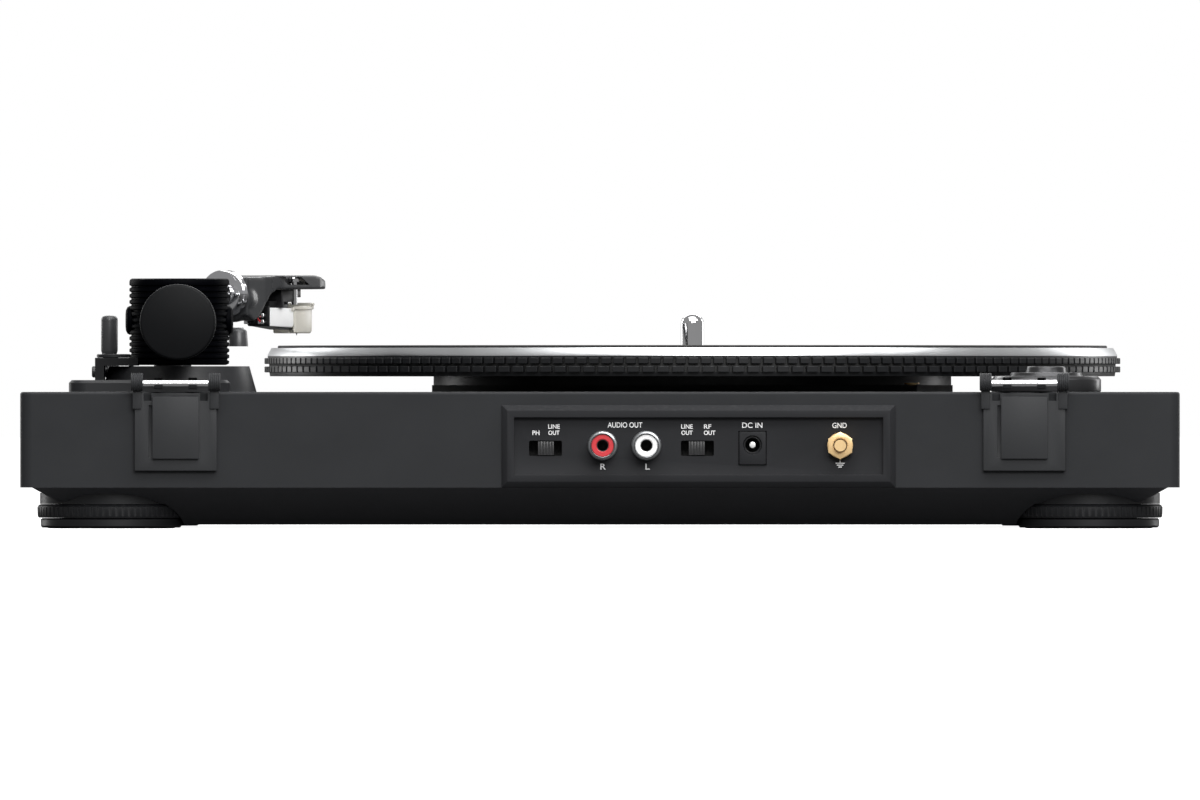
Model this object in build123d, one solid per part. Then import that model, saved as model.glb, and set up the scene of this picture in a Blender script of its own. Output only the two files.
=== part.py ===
from build123d import *
import math
import os

# Belt-drive record player, millimetres. X right seen from the front, Y to the rear, Z up.
# The origin is the bottom centre of the whole object.

# ---- driving dimensions ----
WIDTH, DEPTH = 400.0, 350.0
Y_MID = -4.0                      # plinth centre in Y; the sockets stand out at the rear
Y_REAR = Y_MID + DEPTH / 2        # 171
Z_PAN, Z_SEAM, Z_DECK = 1.3, 14.2, 47.2
WALL, DECK_T = 3.0, 3.0
CORNER_R = 4.0

SPINDLE = (-32.3, -4.0)
SPINDLE_R, SPINDLE_TOP = 3.56, 74.6
SHAFT_R = 4.0                     # the spindle below the mat's top
PLATTER_R, PLATTER_TOP, PLATTER_LOW = 148.5, 62.5, 52.7
DRUM_R, DRUM_LOW = 90.5, 43.2
MAT_R, MAT_T = 145.0, 0.9
STROBE_R, STROBE_ROOT = 149.6, 148.7
STROBE_ROWS = [(216, 57.0, 59.0), (180, 54.1, 56.1)]    # teeth, low Z, high Z
WELL_R, WELL_FLOOR, WELL_SKIN = 94.0, 41.0, 2.5

MOTOR = (-108.3, 78.0)
PULLEY_R, PULLEY_FLANGE_R = 1.5, 2.6
BELT_Z, BELT_W, BELT_T, BELT_GAP = 45.2, 4.4, 0.5, 0.05

PIVOT = (145.8, 107.0)
TOWER_R, TOWER_LOW, TOWER_TOP = 17.3, 56.5, 86.5
TILT_Z = 72.0                     # height of the tonearm's tilting axis
TUBE_R, TUBE_Z = 4.5, 79.5
STUB_Z, STUB_R = 71.3, 3.0
WEIGHT_R, WEIGHT_Y0, WEIGHT_Y1 = 13.1, 135.0, 157.0
RUN = 0.05                        # radial clearance of a running fit
HEAD_TURN = 33.0                  # headshell direction from -Y towards -X, degrees
COLLAR = (130.9, -77.3, 81.7)     # centre of the locking collar

GUARD_S, GUARD_Z = 46.4, 78.1      # hinge of the stylus guard
DIAL = (168.4, 119.0)             # anti-skating dial
LEVER_Y, LEVER_Z = 79.5, 54.2     # axis of the cue lever
LATCH, LATCH_Z = (155.0, 30.0), 84.7                    # the arm rest's latch

ADAPTER = (-154.4, 124.0)
KNOB = (-154.4, -140.0)
FEET = [(169.0, 139.0), (-169.0, 139.0), (164.0, -147.0), (-164.0, -147.0)]
HINGE_X, HINGE_PIN_Z, HINGE_PIN_Y = 146.3, 50.1, 174.4
BOSSES = [(120, -136), (-120, -136), (120, 128), (-120, 128)]
FRAME_X = (-101.9, 33.9)
PLATE_FACE = 171.2                # outer face of the recessed terminal plate
RCA_RED, RCA_WHITE, JACK_Z = -0.9, -16.0, 28.7
DC_X, GROUND_X = -52.6, -82.8
SWITCH_SLOTS = [(18.8, 18.65), (-33.6, -33.35)]         # slot centre, slider centre in X


def cyl(x, y, z0, z1, r):
    """Upright cylinder between two heights."""
    return Pos(x, y, (z0 + z1) / 2) * Cylinder(r, z1 - z0)


def tube(x, y, z0, z1, r, bore):
    return cyl(x, y, z0, z1, r) - cyl(x, y, z0 - 1, z1 + 1, bore)


def cyl_y(x, z, y0, y1, r):
    """Cylinder lying along Y."""
    return Pos(x, (y0 + y1) / 2, z) * Rot(90, 0, 0) * Cylinder(r, y1 - y0)


def cyl_x(y, z, x0, x1, r):
    """Cylinder lying along X."""
    return Pos((x0 + x1) / 2, y, z) * Rot(0, 90, 0) * Cylinder(r, x1 - x0)


def box(x0, x1, y0, y1, z0, z1):
    return Pos((x0 + x1) / 2, (y0 + y1) / 2, (z0 + z1) / 2) * Box(x1 - x0, y1 - y0, z1 - z0)


def turned(points, x=0.0, y=0.0):
    """Solid turned about an upright axis from (radius, height) points."""
    outline = make_face(Polyline(*[(r, 0, z) for r, z in points], close=True))
    return Pos(x, y, 0) * revolve(outline, Axis.Z)


def turned_y(points, x, z):
    """Solid turned about an axis along Y from (radius, y) points."""
    outline = make_face(Polyline(*[(r, y, 0) for r, y in points], close=True))
    return Pos(x, 0, z) * revolve(outline, Axis.Y)


def group(solids):
    return Compound(children=list(solids))


def slab(w, d, r, z0, z1):
    return Pos(0, Y_MID, z0) * extrude(RectangleRounded(w, d, r), z1 - z0)


def tapered(inset0, inset1, z0, z1):
    """Rounded slab that narrows downwards, its walls inset from the plinth's sides."""
    low = Pos(0, Y_MID, z0) * RectangleRounded(WIDTH - 2 * inset0, DEPTH - 2 * inset0, 3)
    high = Pos(0, Y_MID, z1) * RectangleRounded(WIDTH - 2 * inset1, DEPTH - 2 * inset1, 3)
    return loft([low, high])


def belt_area(r_drum, r_pulley):
    """Flat area inside a loop that runs round the drum and the motor pulley."""
    dx, dy = MOTOR[0] - SPINDLE[0], MOTOR[1] - SPINDLE[1]
    dist, along = math.hypot(dx, dy), math.atan2(dy, dx)
    open_angle = math.acos((r_drum - r_pulley) / dist)
    corners = []
    for centre, r, sides in ((SPINDLE, r_drum, (1, -1)), (MOTOR, r_pulley, (-1, 1))):
        for side in sides:
            a = along + side * open_angle
            corners.append((centre[0] + r * math.cos(a), centre[1] + r * math.sin(a)))
    middle = make_face(Polyline(*corners, close=True))
    return Pos(*SPINDLE) * Circle(r_drum) + Pos(*MOTOR) * Circle(r_pulley) + middle


# ---- plinth ----
def plinth_shell():
    shell = slab(WIDTH, DEPTH, CORNER_R, Z_SEAM, Z_DECK)
    shell = fillet(shell.edges().group_by(Axis.Z)[-1], 0.9)
    shell -= slab(WIDTH - 2 * WALL, DEPTH - 2 * WALL, 2, Z_SEAM - 1, Z_DECK - DECK_T)
    well = extrude(belt_area(WELL_R + WELL_SKIN, 8 + WELL_SKIN), Z_DECK - WELL_FLOOR + WELL_SKIN - 1)
    shell += Pos(0, 0, WELL_FLOOR - WELL_SKIN) * well
    shell -= Pos(0, 0, WELL_FLOOR) * extrude(belt_area(WELL_R, 8), 10)
    for x, y in BOSSES:
        shell += cyl(x, y, 4.0, Z_DECK - 1, 5)
        shell -= cyl(x, y, 0, 24, 1.5)
    shell -= cyl(*SPINDLE, 30, 50, 9)
    shell -= cyl(*MOTOR, 30, 42, 4)
    shell -= cyl(*PIVOT, 40, 50, 9)
    shell -= cyl(*KNOB, 40, 50, 4)
    shell -= box(-99.5, 31.5, 160, 180, 16.2, 40.8)
    return shell


def bottom_pan():
    pan = tapered(27.2, 4.0, Z_PAN, Z_SEAM)
    hollow = tapered(28.5, 9.0, Z_PAN + 2.5, Z_SEAM + 0.01)
    for x, y in FEET:
        hollow -= cyl(x, y, 0, 20, 27.5)
    pan -= hollow
    for x, y in FEET:
        pan -= cyl(x, y, -1, 8.5, 25.8) + cyl(x, y, 8, 12.3, 24.8)
    for x, y in BOSSES:
        pan -= cyl(x, y, 0, 3, 3.6) + cyl(x, y, 0, 10, 1.9)
    return pan


def pan_screws():
    return group(cyl(x, y, 1.6, 3.0, 3.2) + cyl(x, y, 2.9, 20, 1.5) for x, y in BOSSES)


# ---- feet: a fixed housing, a turning ring and a keyed plunger with a pad ----
def foot_housings():
    return group(tube(x, y, 8.5, 12.3, 24.6, 10.2) for x, y in FEET)


def foot_ring(x, y):
    ring = tube(x, y, 3.7, 8.4, 25.5, 10.2)
    return chamfer(ring.edges().filter_by(GeomType.CIRCLE).sort_by(SortBy.RADIUS)[-2:], 0.5)


def foot_plunger(x, y):
    return cyl(x, y, 0.3, 3.6, 24.4) + cyl(x, y, 0, 0.3, 21.9) + cyl(x, y, 3.5, 12.2, 9.9)


# ---- platter ----
def platter():
    groove = 147.9
    return turned([
        (SHAFT_R, 62.5), (147.2, 62.5), (PLATTER_R, 60.2), (PLATTER_R, 59.0), (groove, 59.0),
        (groove, 54.1), (147.7, PLATTER_LOW), (142, PLATTER_LOW), (142, 57.5),
        (DRUM_R, 57.5), (DRUM_R, DRUM_LOW), (86.5, DRUM_LOW), (86.5, 57.5), (14, 57.5),
        (12, 45), (SHAFT_R, 45)], *SPINDLE)


def strobe_row(count, z0, z1):
    """One ring of evenly spaced pads, as a toothed band."""
    points = []
    for i in range(count):
        for part, r in ((-0.25, STROBE_ROOT), (-0.25, STROBE_R), (0.25, STROBE_R), (0.25, STROBE_ROOT)):
            a = 2 * math.pi * (i + part) / count
            points.append((r * math.cos(a), r * math.sin(a)))
    band = make_face(Polyline(*points, close=True)) - Circle(147.9)
    return Pos(*SPINDLE, z0) * extrude(band, z1 - z0)


def strobe_band():
    return group(strobe_row(*row) for row in STROBE_ROWS)


def slip_mat():
    return tube(*SPINDLE, PLATTER_TOP, PLATTER_TOP + MAT_T, MAT_R, 4.3)


def spindle():
    pin = cyl(*SPINDLE, 60, SPINDLE_TOP, SPINDLE_R)
    pin = fillet(pin.edges().group_by(Axis.Z)[-1], 3.0)
    return pin + cyl(*SPINDLE, 13.0, PLATTER_TOP + MAT_T, SHAFT_R)


def bearing_housing():
    body = cyl(*SPINDLE, 10.5, WELL_FLOOR + 1.5, 8.99) + cyl(*SPINDLE, 33, WELL_FLOOR - WELL_SKIN, 16)
    return body - cyl(*SPINDLE, 13.0, 50, SHAFT_R + RUN)


# ---- drive ----
def motor_can():
    can = cyl(*MOTOR, 12, 36, 16) + box(-128.3, -88.3, 70, 86, 36, WELL_FLOOR - WELL_SKIN)
    return can - cyl(*MOTOR, 13.5, 45, 1.0 + RUN)


def motor_pulley():
    return turned([(0, 14), (1.0, 14), (1.0, 44.0), (PULLEY_FLANGE_R, 44.0), (PULLEY_FLANGE_R, 44.8),
                   (PULLEY_R, 45.0), (PULLEY_R, 49.7), (PULLEY_FLANGE_R, 49.9), (PULLEY_FLANGE_R, 50.4),
                   (0, 50.4)], *MOTOR)


def drive_belt():
    inner = belt_area(DRUM_R + BELT_GAP, PULLEY_R + BELT_GAP)
    outer = belt_area(DRUM_R + BELT_GAP + BELT_T, PULLEY_R + BELT_GAP + BELT_T)
    return Pos(0, 0, BELT_Z) * extrude(outer - inner, BELT_W)


# ---- controls and loose pieces on the deck ----
def speed_knob():
    knob = cyl(*KNOB, 47.5, 52.5, 11)
    knob = chamfer(knob.edges().group_by(Axis.Z)[-1], 0.6)
    knob -= box(KNOB[0] - 0.6, KNOB[0] + 0.6, KNOB[1] - 12, KNOB[1] - 4, 51.9, 53)
    return knob + cyl(*KNOB, 34, 48, 3)


def adapter_45():
    return turned([(3.65, 47.2), (19.05, 47.2), (19.05, 51.5), (17.85, 52.7), (12.6, 52.7), (12.3, 53.9),
                   (7.0, 53.9), (6.6, 56.0), (4.4, 56.0), (3.65, 55.2)], *ADAPTER)


# ---- rear terminals ----
def terminal_frame():
    x0, x1 = FRAME_X
    frame = box(x0, x1, Y_REAR, Y_REAR + 2.5, 14.3, 42.7)
    frame = chamfer(frame.faces().sort_by(Axis.Y)[-1].edges(), 1.2)
    frame += box(-99.5, 31.5, 166, Y_REAR, 16.2, 40.8)
    frame -= box(-97.4, 29.4, PLATE_FACE, 180, 18.5, 38.5)
    for slot, _ in SWITCH_SLOTS:
        frame -= box(slot - 5.7, slot + 5.7, 160, 180, 25.1, 30.4)
    for x in (RCA_RED, RCA_WHITE):
        frame -= cyl_y(x, JACK_Z, 160, 180, 4.15)
    frame -= box(DC_X - 4.6, DC_X + 4.6, 160, 180, 22.1, 33.5)
    return frame - cyl_y(GROUND_X, JACK_Z, 160, 180, 2.0)


def rca_shells():
    return group(turned_y([(3.55, 158), (4.15, 158), (4.15, PLATE_FACE), (5.15, PLATE_FACE), (5.15, 172.6),
                           (4.25, 173.0), (4.25, 179), (3.55, 179)], x, JACK_Z)
                 for x in (RCA_RED, RCA_WHITE))


def rca_insert(x):
    return turned_y([(0, 158), (3.55, 158), (3.55, 178.3), (2.0, 178.3), (2.0, 164), (0, 164)], x, JACK_Z)


def dc_socket():
    body = box(DC_X - 4.6, DC_X + 4.6, 160, 172.8, 22.1, 33.5)
    body = chamfer(body.faces().sort_by(Axis.Y)[-1].edges(), 0.4)
    return body - cyl_y(DC_X, 28.9, 162.5, 180, 3.35)


def dc_pin():
    return cyl_y(DC_X, 28.9, 162.5, 172, 1.25)


def switch_bodies():
    parts = []
    for slot, _ in SWITCH_SLOTS:
        parts.append(box(slot - 8, slot + 8, 156, 166, 23, 32.5) - box(slot - 6.3, slot + 6.3, 160, 167, 24.8, 30.7))
    return group(parts)


def switch_slider(x):
    knob = box(x - 2.75, x + 2.75, 160.3, 172.6, 25.4, 30.1)
    for i in (-1, 0, 1):
        knob -= box(x + 1.6 * i - 0.3, x + 1.6 * i + 0.3, 172.1, 173, 25, 31)
    return knob


def ground_post():
    return cyl_y(GROUND_X, JACK_Z, 158, 177.6, 2.0)


def ground_nut():
    nut = Pos(GROUND_X, 171.4, JACK_Z) * Rot(-90, 0, 0) * extrude(RegularPolygon(5.0, 6), 4.6)
    return nut - cyl_y(GROUND_X, JACK_Z, 170, 180, 2.0 + RUN)


# ---- hinges ----
def hinge_socket(x):
    socket = box(x - 14.15, x + 14.15, Y_REAR, 173.2, 20.0, Z_DECK)
    socket += box(x - 8.05, x + 8.05, 173.2, 174.6, 24.1, 45.9)
    for side in (-1, 1):
        ear = x + side * 13.35
        socket += box(ear - 2.05, ear + 2.05, Y_REAR, 176.2, 41.3, 50.6)
        barrel = cyl_x(HINGE_PIN_Y, 50.6, ear - 2.05, ear + 2.05, 3.15)
        for i in range(-2, 3):
            barrel -= cyl_x(HINGE_PIN_Y, 50.6, ear + 0.8 * i - 0.1, ear + 0.8 * i + 0.1, 4) - \
                cyl_x(HINGE_PIN_Y, 50.6, ear - 4, ear + 4, 2.9)
        socket += barrel
    socket -= box(x - 15, x + 15, 168, Y_REAR, 47, 60)
    return socket - cyl_x(HINGE_PIN_Y, HINGE_PIN_Z, x - 14, x + 14, 1.25)


def hinge_pins():
    return group(cyl_x(HINGE_PIN_Y, HINGE_PIN_Z, x - 14, x + 14, 1.25) for x in (HINGE_X, -HINGE_X))


def hinge_leaf(x):
    leaf = box(x - 9, x + 9, 158, 171.6, 49.0, 51.2)
    for side in (-1, 1):
        knuckle = x + side * 5.9
        leaf += cyl_x(HINGE_PIN_Y, HINGE_PIN_Z, knuckle - 1.5, knuckle + 1.5, 2.4)
        leaf += box(knuckle - 1.5, knuckle + 1.5, 171, HINGE_PIN_Y, 49.0, 51.2)
    return leaf - cyl_x(HINGE_PIN_Y, HINGE_PIN_Z, x - 14, x + 14, 1.25 + RUN)


# ---- electronics ----
def main_board():
    board = box(-95, 25, 96, 154, 20.5, 22.1)
    legs = [cyl(x, y, Z_PAN + 2.5, 20.5, 3) for x in (-90, 20) for y in (101, 136)]
    return group([board] + legs)


def board_parts():
    caps = [cyl(x, 104, 22.1, 34, 5) for x in (-40, -26, -12)]
    chips = [box(x, x + 12, 118, 128, 22.1, 24.6) for x in (-60, -30, 0)]
    plugs = [box(x, x + 10, 142, 148, 22.1, 28) for x in (-92, -70, -48)]
    switch = tube(*KNOB, 31, 43.9, 10, 3 + RUN) + cyl(*KNOB, 29.5, 33.5, 10)
    return group(caps + chips + plugs + [switch])


def loom(points, r=1.2):
    path = Spline(*points)
    return sweep(Plane(origin=path @ 0, z_dir=path % 0) * Circle(r), path)


def wiring():
    return group([
        loom([(-100, 66, 9), (-112, 100, 10), (-106, 128, 20), (-98, 140, 30), (-87, 145, 30)]),
        loom([(-154, -140, 28), (-160, -60, 10), (-138, 60, 10), (-108, 112, 24), (-82, 128, 33), (-65, 145, 30)]),
        loom([(145, 107, 31), (120, 112, 20), (60, 120, 15), (35, 128, 34), (-20, 133, 34), (-43, 145, 30)])])


# ---- tonearm base, bracket and lift ----
def arm_base():
    plate = Pos(155.9, 95, Z_DECK) * extrude(RectangleRounded(55.8, 78, 6), 4.1)
    plate = chamfer(plate.edges().group_by(Axis.Z)[-1], 1.0)
    cone = turned([(0, Z_DECK), (26.8, Z_DECK), (24.3, 56.1), (0, 56.1)], *PIVOT)
    base = plate + cone + cyl(*PIVOT, 32, Z_DECK, 9) + cyl(150, 78, Z_DECK, 61, 5)
    base -= cyl(*PIVOT, 34, 60, 4.95 + RUN) + cyl(150, 78, 40, 70, 2.5 + RUN)
    rest = cyl(146.5, 30, Z_DECK, 72, 4) + cyl(146.5, 30, Z_DECK, 49.5, 9)
    rest += box(140.5, 158, 27, 33, 70, 74.2) + box(152.3, 158, 27, 33, 70, LATCH_Z)
    rest += cyl(*LATCH, LATCH_Z - 0.5, LATCH_Z + 1.4, 1.5)
    return group([base, rest])


def cue_bracket():
    top = box(160, 174.8, 84, 125.2, 56.3, 59.0)
    bracket = top + box(171.7, 174.8, 88, 125.2, 51.3, 57)
    for x in (162.0, 173.2):
        bracket += box(x, x + 1.6, 75.5, 88, 51.3, 57.2)
    bracket -= cyl(*PIVOT, 50, 60, TOWER_R + 1.0)
    bracket -= cyl(*PIVOT, 50, 56.25, 26.9)
    bracket -= cyl(*DIAL, 50, 60, 1.5 + RUN)
    return bracket - cyl_x(LEVER_Y, LEVER_Z, 150, 180, 2 + RUN)


def anti_skate_dial():
    dial = cyl(*DIAL, 59.05, 60.3, 5.85) + cyl(*DIAL, 56.6, 59.2, 1.5)
    return dial - box(DIAL[0] - 0.4, DIAL[0] + 0.4, DIAL[1] - 7, DIAL[1] - 2, 60.0, 61)


def cue_lever():
    lever = cyl_x(LEVER_Y, LEVER_Z, 161, 176.5, 2) + cyl_x(LEVER_Y, LEVER_Z, 167.2, 171.2, 2.7)
    stem = Pos(170.4, LEVER_Y, 0) * turned([(0, 54), (1.4, 54), (1.8, 57.5), (2.9, 61), (2.9, 71.5),
                                            (2.5, 73.0), (1.6, 73.6), (0, 73.8)])
    return lever + stem


def lift_bar():
    arc = Circle(30) - Circle(25)
    wedge = make_face(Polyline((0, 0), (60 * math.cos(math.radians(-62)), 60 * math.sin(math.radians(-62))),
                               (0, -90), (60 * math.cos(math.radians(-138)), 60 * math.sin(math.radians(-138))),
                               close=True))
    bar = Pos(*PIVOT, 66.6) * extrude(arc & wedge, 3.0)
    bar += box(122.2, 125.6, 83, 92, 63.0, 69.6) & (cyl(*PIVOT, 62, 70, 30) - cyl(*PIVOT, 60, 72, 20.5))
    return bar + cyl(150, 78, 47.6, 67, 2.5)


def arm_clip():
    """Latch that turns over the tube on a post; it stands open beside the tube."""
    x, y = LATCH
    bar = box(x - 1.8, x + 1.8, y - 12, y, LATCH_Z + 0.1, LATCH_Z + 1.5) + \
        cyl(x, y, LATCH_Z + 0.1, LATCH_Z + 1.5, 2.7)
    return bar - cyl(x, y, LATCH_Z - 1, LATCH_Z + 3, 1.5 + RUN)


# ---- tonearm ----
def arm_tower():
    tower = cyl(*PIVOT, TOWER_LOW, TOWER_TOP, TOWER_R)
    tower = chamfer(tower.edges().group_by(Axis.Z)[-1], 0.8)
    for i in range(13):
        z = TOWER_LOW + 2.1 * (i + 1)
        tower -= tube(*PIVOT, z - 0.4, z + 0.4, TOWER_R + 1, TOWER_R - 0.6)
    tower -= cyl(*PIVOT, 59.5, 85.0, 14.5)
    x, y = PIVOT
    tower -= box(x - 5.4, x + 5.4, y - 20, y - 1, 73.0, 90)
    tower -= box(x - 4.6, x + 4.6, y + 10, y + 20, 63.5, 78.5)
    tower += cyl(*PIVOT, 35, TOWER_LOW + 1, 4.95)
    for side in (-1, 1):
        ends = sorted((x + side * 8.2, x + side * 17.2))
        tower += cyl_x(y, TILT_Z, *ends, 2.0)
        ends = sorted((x + side * 16.9, x + side * 18.7))
        tower += cyl_x(y, TILT_Z, *ends, 5.0)
    return tower


def pivot_block():
    x, y = PIVOT
    block = box(x - 9, x + 9, y - 9, y + 9, 62, 82.6)
    block -= cyl_x(y, TILT_Z, x - 20, x + 20, 2.0 + RUN)
    block -= cyl_y(x, TUBE_Z, y - 30, y + 5, TUBE_R)
    return block - cyl_y(x, STUB_Z, y + 3, y + 30, STUB_R)


def along_head(s, side=0.0, z=0.0):
    """Point a distance s in front of the collar's centre, on the headshell's line."""
    a = math.radians(HEAD_TURN)
    ux, uy = -math.sin(a), -math.cos(a)
    return (COLLAR[0] + ux * s - uy * side, COLLAR[1] + uy * s + ux * side, z)


def arm_tube():
    x, y = PIVOT
    end = along_head(7.0, 0, COLLAR[2])
    a = math.radians(HEAD_TURN)
    near = along_head(-6.0, 0, COLLAR[2])
    straight = Line((x, y + 5, TUBE_Z), (x, y - 26, TUBE_Z))
    bend = Spline((x, y - 26, TUBE_Z), (146.5, 30, TUBE_Z + 0.2), (151.5, -25, COLLAR[2] - 0.6), near,
                  tangents=[(0, -1, 0), (-math.sin(a), -math.cos(a), 0)])
    tip = Line(near, end)
    path = Wire([straight, bend, tip])
    pipe = sweep(Plane(origin=(x, y + 5, TUBE_Z), z_dir=(0, -1, 0)) * Circle(TUBE_R), path)
    return pipe


def counter_stub():
    return cyl_y(PIVOT[0], STUB_Z, PIVOT[1] + 3, 148.0, STUB_R)


def locking_collar():
    a = math.degrees(math.atan2(-math.cos(math.radians(HEAD_TURN)), -math.sin(math.radians(HEAD_TURN))))
    ring = Cylinder(8.3, 10) - Cylinder(TUBE_R + RUN, 12)
    ring = chamfer(ring.edges().filter_by(GeomType.CIRCLE).sort_by(SortBy.RADIUS)[-2:], 0.8)
    return Pos(*COLLAR) * Rot(0, 0, a) * Rot(0, 90, 0) * ring


def head_frame(solid):
    """Place a solid drawn with +X forwards on the headshell's line, Z as is."""
    return Pos(COLLAR[0], COLLAR[1], 0) * Rot(0, 0, -90 - HEAD_TURN) * solid


def sides_cut():
    """Wedges that bevel the headshell's two upper long edges."""
    cuts = []
    for side in (-1, 1):
        wedge = make_face(Polyline((side * 7.4, 89), (side * 10, 89), (side * 10, 85.9), close=True))
        cuts.append(Pos(5, 0, 0) * extrude(Plane.YZ * wedge, 60))
    return cuts[0] + cuts[1]


def headshell():
    side = [(7.0, 71.9), (13.5, 71.9), (16.5, 74), (21, 80), (25, 83.2), (50.5, 83.5), (49.6, 86.6),
            (45.5, 88.4), (20, 88.2), (14, 87.7), (7.0, 86.4)]
    body = extrude(Plane.XZ * make_face(Polyline(*side, close=True)), 9, both=True)
    plan = [(6, -7.4), (14, -7.6), (24, -9), (45, -9), (51, -7.5), (51, 7.5), (45, 9), (24, 9), (14, 7.6), (6, 7.4)]
    body &= Pos(0, 0, 70) * extrude(make_face(Polyline(*plan, close=True)), 20)
    body -= sides_cut()
    for y in (-5.5, 5.5):
        body -= box(28, 40, y - 1.4, y + 1.4, 80, 90)
    body += box(40, 47, 8.5, 14, 84.6, 85.8)
    return head_frame(body)


def head_pin(s, z, half, r):
    """Round pin across the headshell's line, in its drawing frame."""
    return Pos(s, 0, z) * Rot(90, 0, 0) * Cylinder(r, 2 * half)


def cartridge_body():
    lump = box(27, 44, -7, 7, 76.8, 83.2) + box(19.5, 34, -6, 6, 70.3, 77.8)
    for y in (-5.2, 5.2):
        lump += box(43.5, GUARD_S + 1.0, y - 0.5, y + 0.5, GUARD_Z - 1, GUARD_Z + 1)
        lump -= head_pin(GUARD_S, GUARD_Z, 7, 0.6 + RUN)
    pins = [cyl_x(y, z, 16.9, 19.5, 0.55) for y in (-3, 3) for z in (71.4, 73.7)]
    screws = [cyl(34, y, 83.2, 87.6, 1.25) + cyl(34, y, 86.2, 88.0, 0.9) for y in (-5.5, 5.5)]
    return head_frame(group([lump] + pins + screws))


def stylus_holder():
    side = [(34, 70.0), (42, 71.5), (45, 74.5), (45, 76.8), (34, 76.8)]
    body = extrude(Plane.XZ * make_face(Polyline(*side, close=True)), 4.5, both=True)
    return head_frame(body)


def cantilever():
    rod = Line((35.5, 0, 70.4), (44.0, 0, 67.9))
    bar = sweep(Plane(origin=rod @ 0, z_dir=rod % 0) * Circle(0.35), rod)
    return head_frame(bar + turned([(0, 67.0), (0.35, 68.2), (0, 68.2)], 43.9, 0))


def stylus_guard():
    guard = box(46.2, 47.2, -4, 4, 68.6, 78.6) + head_pin(GUARD_S, GUARD_Z, 5.6, 0.6)
    return head_frame(guard)


def weight_sleeve():
    x = PIVOT[0]
    return cyl_y(x, STUB_Z, 131, 154.6, 6.0) - cyl_y(x, STUB_Z, 130, 156, STUB_R + RUN)


def counterweight():
    x = PIVOT[0]
    weight = cyl_y(x, STUB_Z, WEIGHT_Y0, WEIGHT_Y1, WEIGHT_R)
    weight = chamfer(weight.edges().filter_by(GeomType.CIRCLE), 0.7)
    return weight - cyl_y(x, STUB_Z, 130, 155, 6.0 + RUN)


def force_dial():
    x = PIVOT[0]
    dial = cyl_y(x, STUB_Z, 131, 134.6, 11.8) - cyl_y(x, STUB_Z, 130, 136, 6.0 + RUN)
    return chamfer(dial.edges().filter_by(GeomType.CIRCLE).sort_by(SortBy.RADIUS)[-2:], 0.5)


PARTS = {
    "plinth_shell": plinth_shell, "bottom_pan": bottom_pan, "pan_screws": pan_screws,
    "foot_housings": foot_housings, "terminal_frame": terminal_frame, "rca_shells": rca_shells,
    "rca_insert_red": lambda: rca_insert(RCA_RED), "rca_insert_white": lambda: rca_insert(RCA_WHITE),
    "dc_socket": dc_socket, "dc_pin": dc_pin, "switch_bodies": switch_bodies,
    "ground_post": ground_post, "ground_nut": ground_nut,
    "hinge_sockets": lambda: group(hinge_socket(x) for x in (HINGE_X, -HINGE_X)),
    "hinge_pins": hinge_pins, "hinge_leaf_left": lambda: hinge_leaf(-HINGE_X),
    "hinge_leaf_right": lambda: hinge_leaf(HINGE_X), "main_board": main_board,
    "board_parts": board_parts, "wiring": wiring, "bearing_housing": bearing_housing,
    "motor_can": motor_can, "motor_pulley": motor_pulley, "drive_belt": drive_belt,
    "platter": platter, "strobe_band": strobe_band, "slip_mat": slip_mat, "spindle": spindle,
    "speed_knob": speed_knob, "adapter_45": adapter_45, "arm_base": arm_base,
    "cue_bracket": cue_bracket, "anti_skate_dial": anti_skate_dial, "cue_lever": cue_lever,
    "lift_bar": lift_bar, "arm_clip": arm_clip, "arm_tower": arm_tower, "pivot_block": pivot_block,
    "arm_tube": arm_tube, "counter_stub": counter_stub, "locking_collar": locking_collar,
    "headshell": headshell, "cartridge_body": cartridge_body, "stylus_holder": stylus_holder,
    "cantilever": cantilever, "stylus_guard": stylus_guard, "weight_sleeve": weight_sleeve,
    "counterweight": counterweight, "force_dial": force_dial,
    "switch_slider_1": lambda: switch_slider(SWITCH_SLOTS[0][1]),
    "switch_slider_2": lambda: switch_slider(SWITCH_SLOTS[1][1]),
}
for number, (foot_x, foot_y) in enumerate(FEET, 1):
    PARTS[f"foot_ring_{number}"] = lambda x=foot_x, y=foot_y: foot_ring(x, y)
    PARTS[f"foot_plunger_{number}"] = lambda x=foot_x, y=foot_y: foot_plunger(x, y)

os.makedirs("parts", exist_ok=True)
for node, make in PARTS.items():
    export_step(make(), f"parts/{node}.step")
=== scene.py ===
"""Looks of a belt-drive record player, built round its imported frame. Sizes are in millimetres."""

import logging
import math
from dataclasses import dataclass, field
from enum import Enum
from typing import Callable, Iterable, Sequence

import bpy
from mathutils import Matrix, Vector


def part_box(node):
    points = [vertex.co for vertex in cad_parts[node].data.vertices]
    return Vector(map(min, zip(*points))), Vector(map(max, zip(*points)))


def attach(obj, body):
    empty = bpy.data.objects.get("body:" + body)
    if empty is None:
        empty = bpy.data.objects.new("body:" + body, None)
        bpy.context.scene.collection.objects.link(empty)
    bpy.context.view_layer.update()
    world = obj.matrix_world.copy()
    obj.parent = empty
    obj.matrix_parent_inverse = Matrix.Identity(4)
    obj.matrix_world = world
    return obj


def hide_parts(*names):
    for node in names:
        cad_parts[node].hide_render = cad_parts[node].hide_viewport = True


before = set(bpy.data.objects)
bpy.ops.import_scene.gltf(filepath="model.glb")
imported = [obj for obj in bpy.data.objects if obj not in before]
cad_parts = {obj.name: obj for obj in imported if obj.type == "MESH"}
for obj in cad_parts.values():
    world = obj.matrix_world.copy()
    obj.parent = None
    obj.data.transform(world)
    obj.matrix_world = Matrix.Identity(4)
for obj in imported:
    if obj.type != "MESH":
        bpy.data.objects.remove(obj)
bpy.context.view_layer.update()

MM = 0.001
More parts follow.
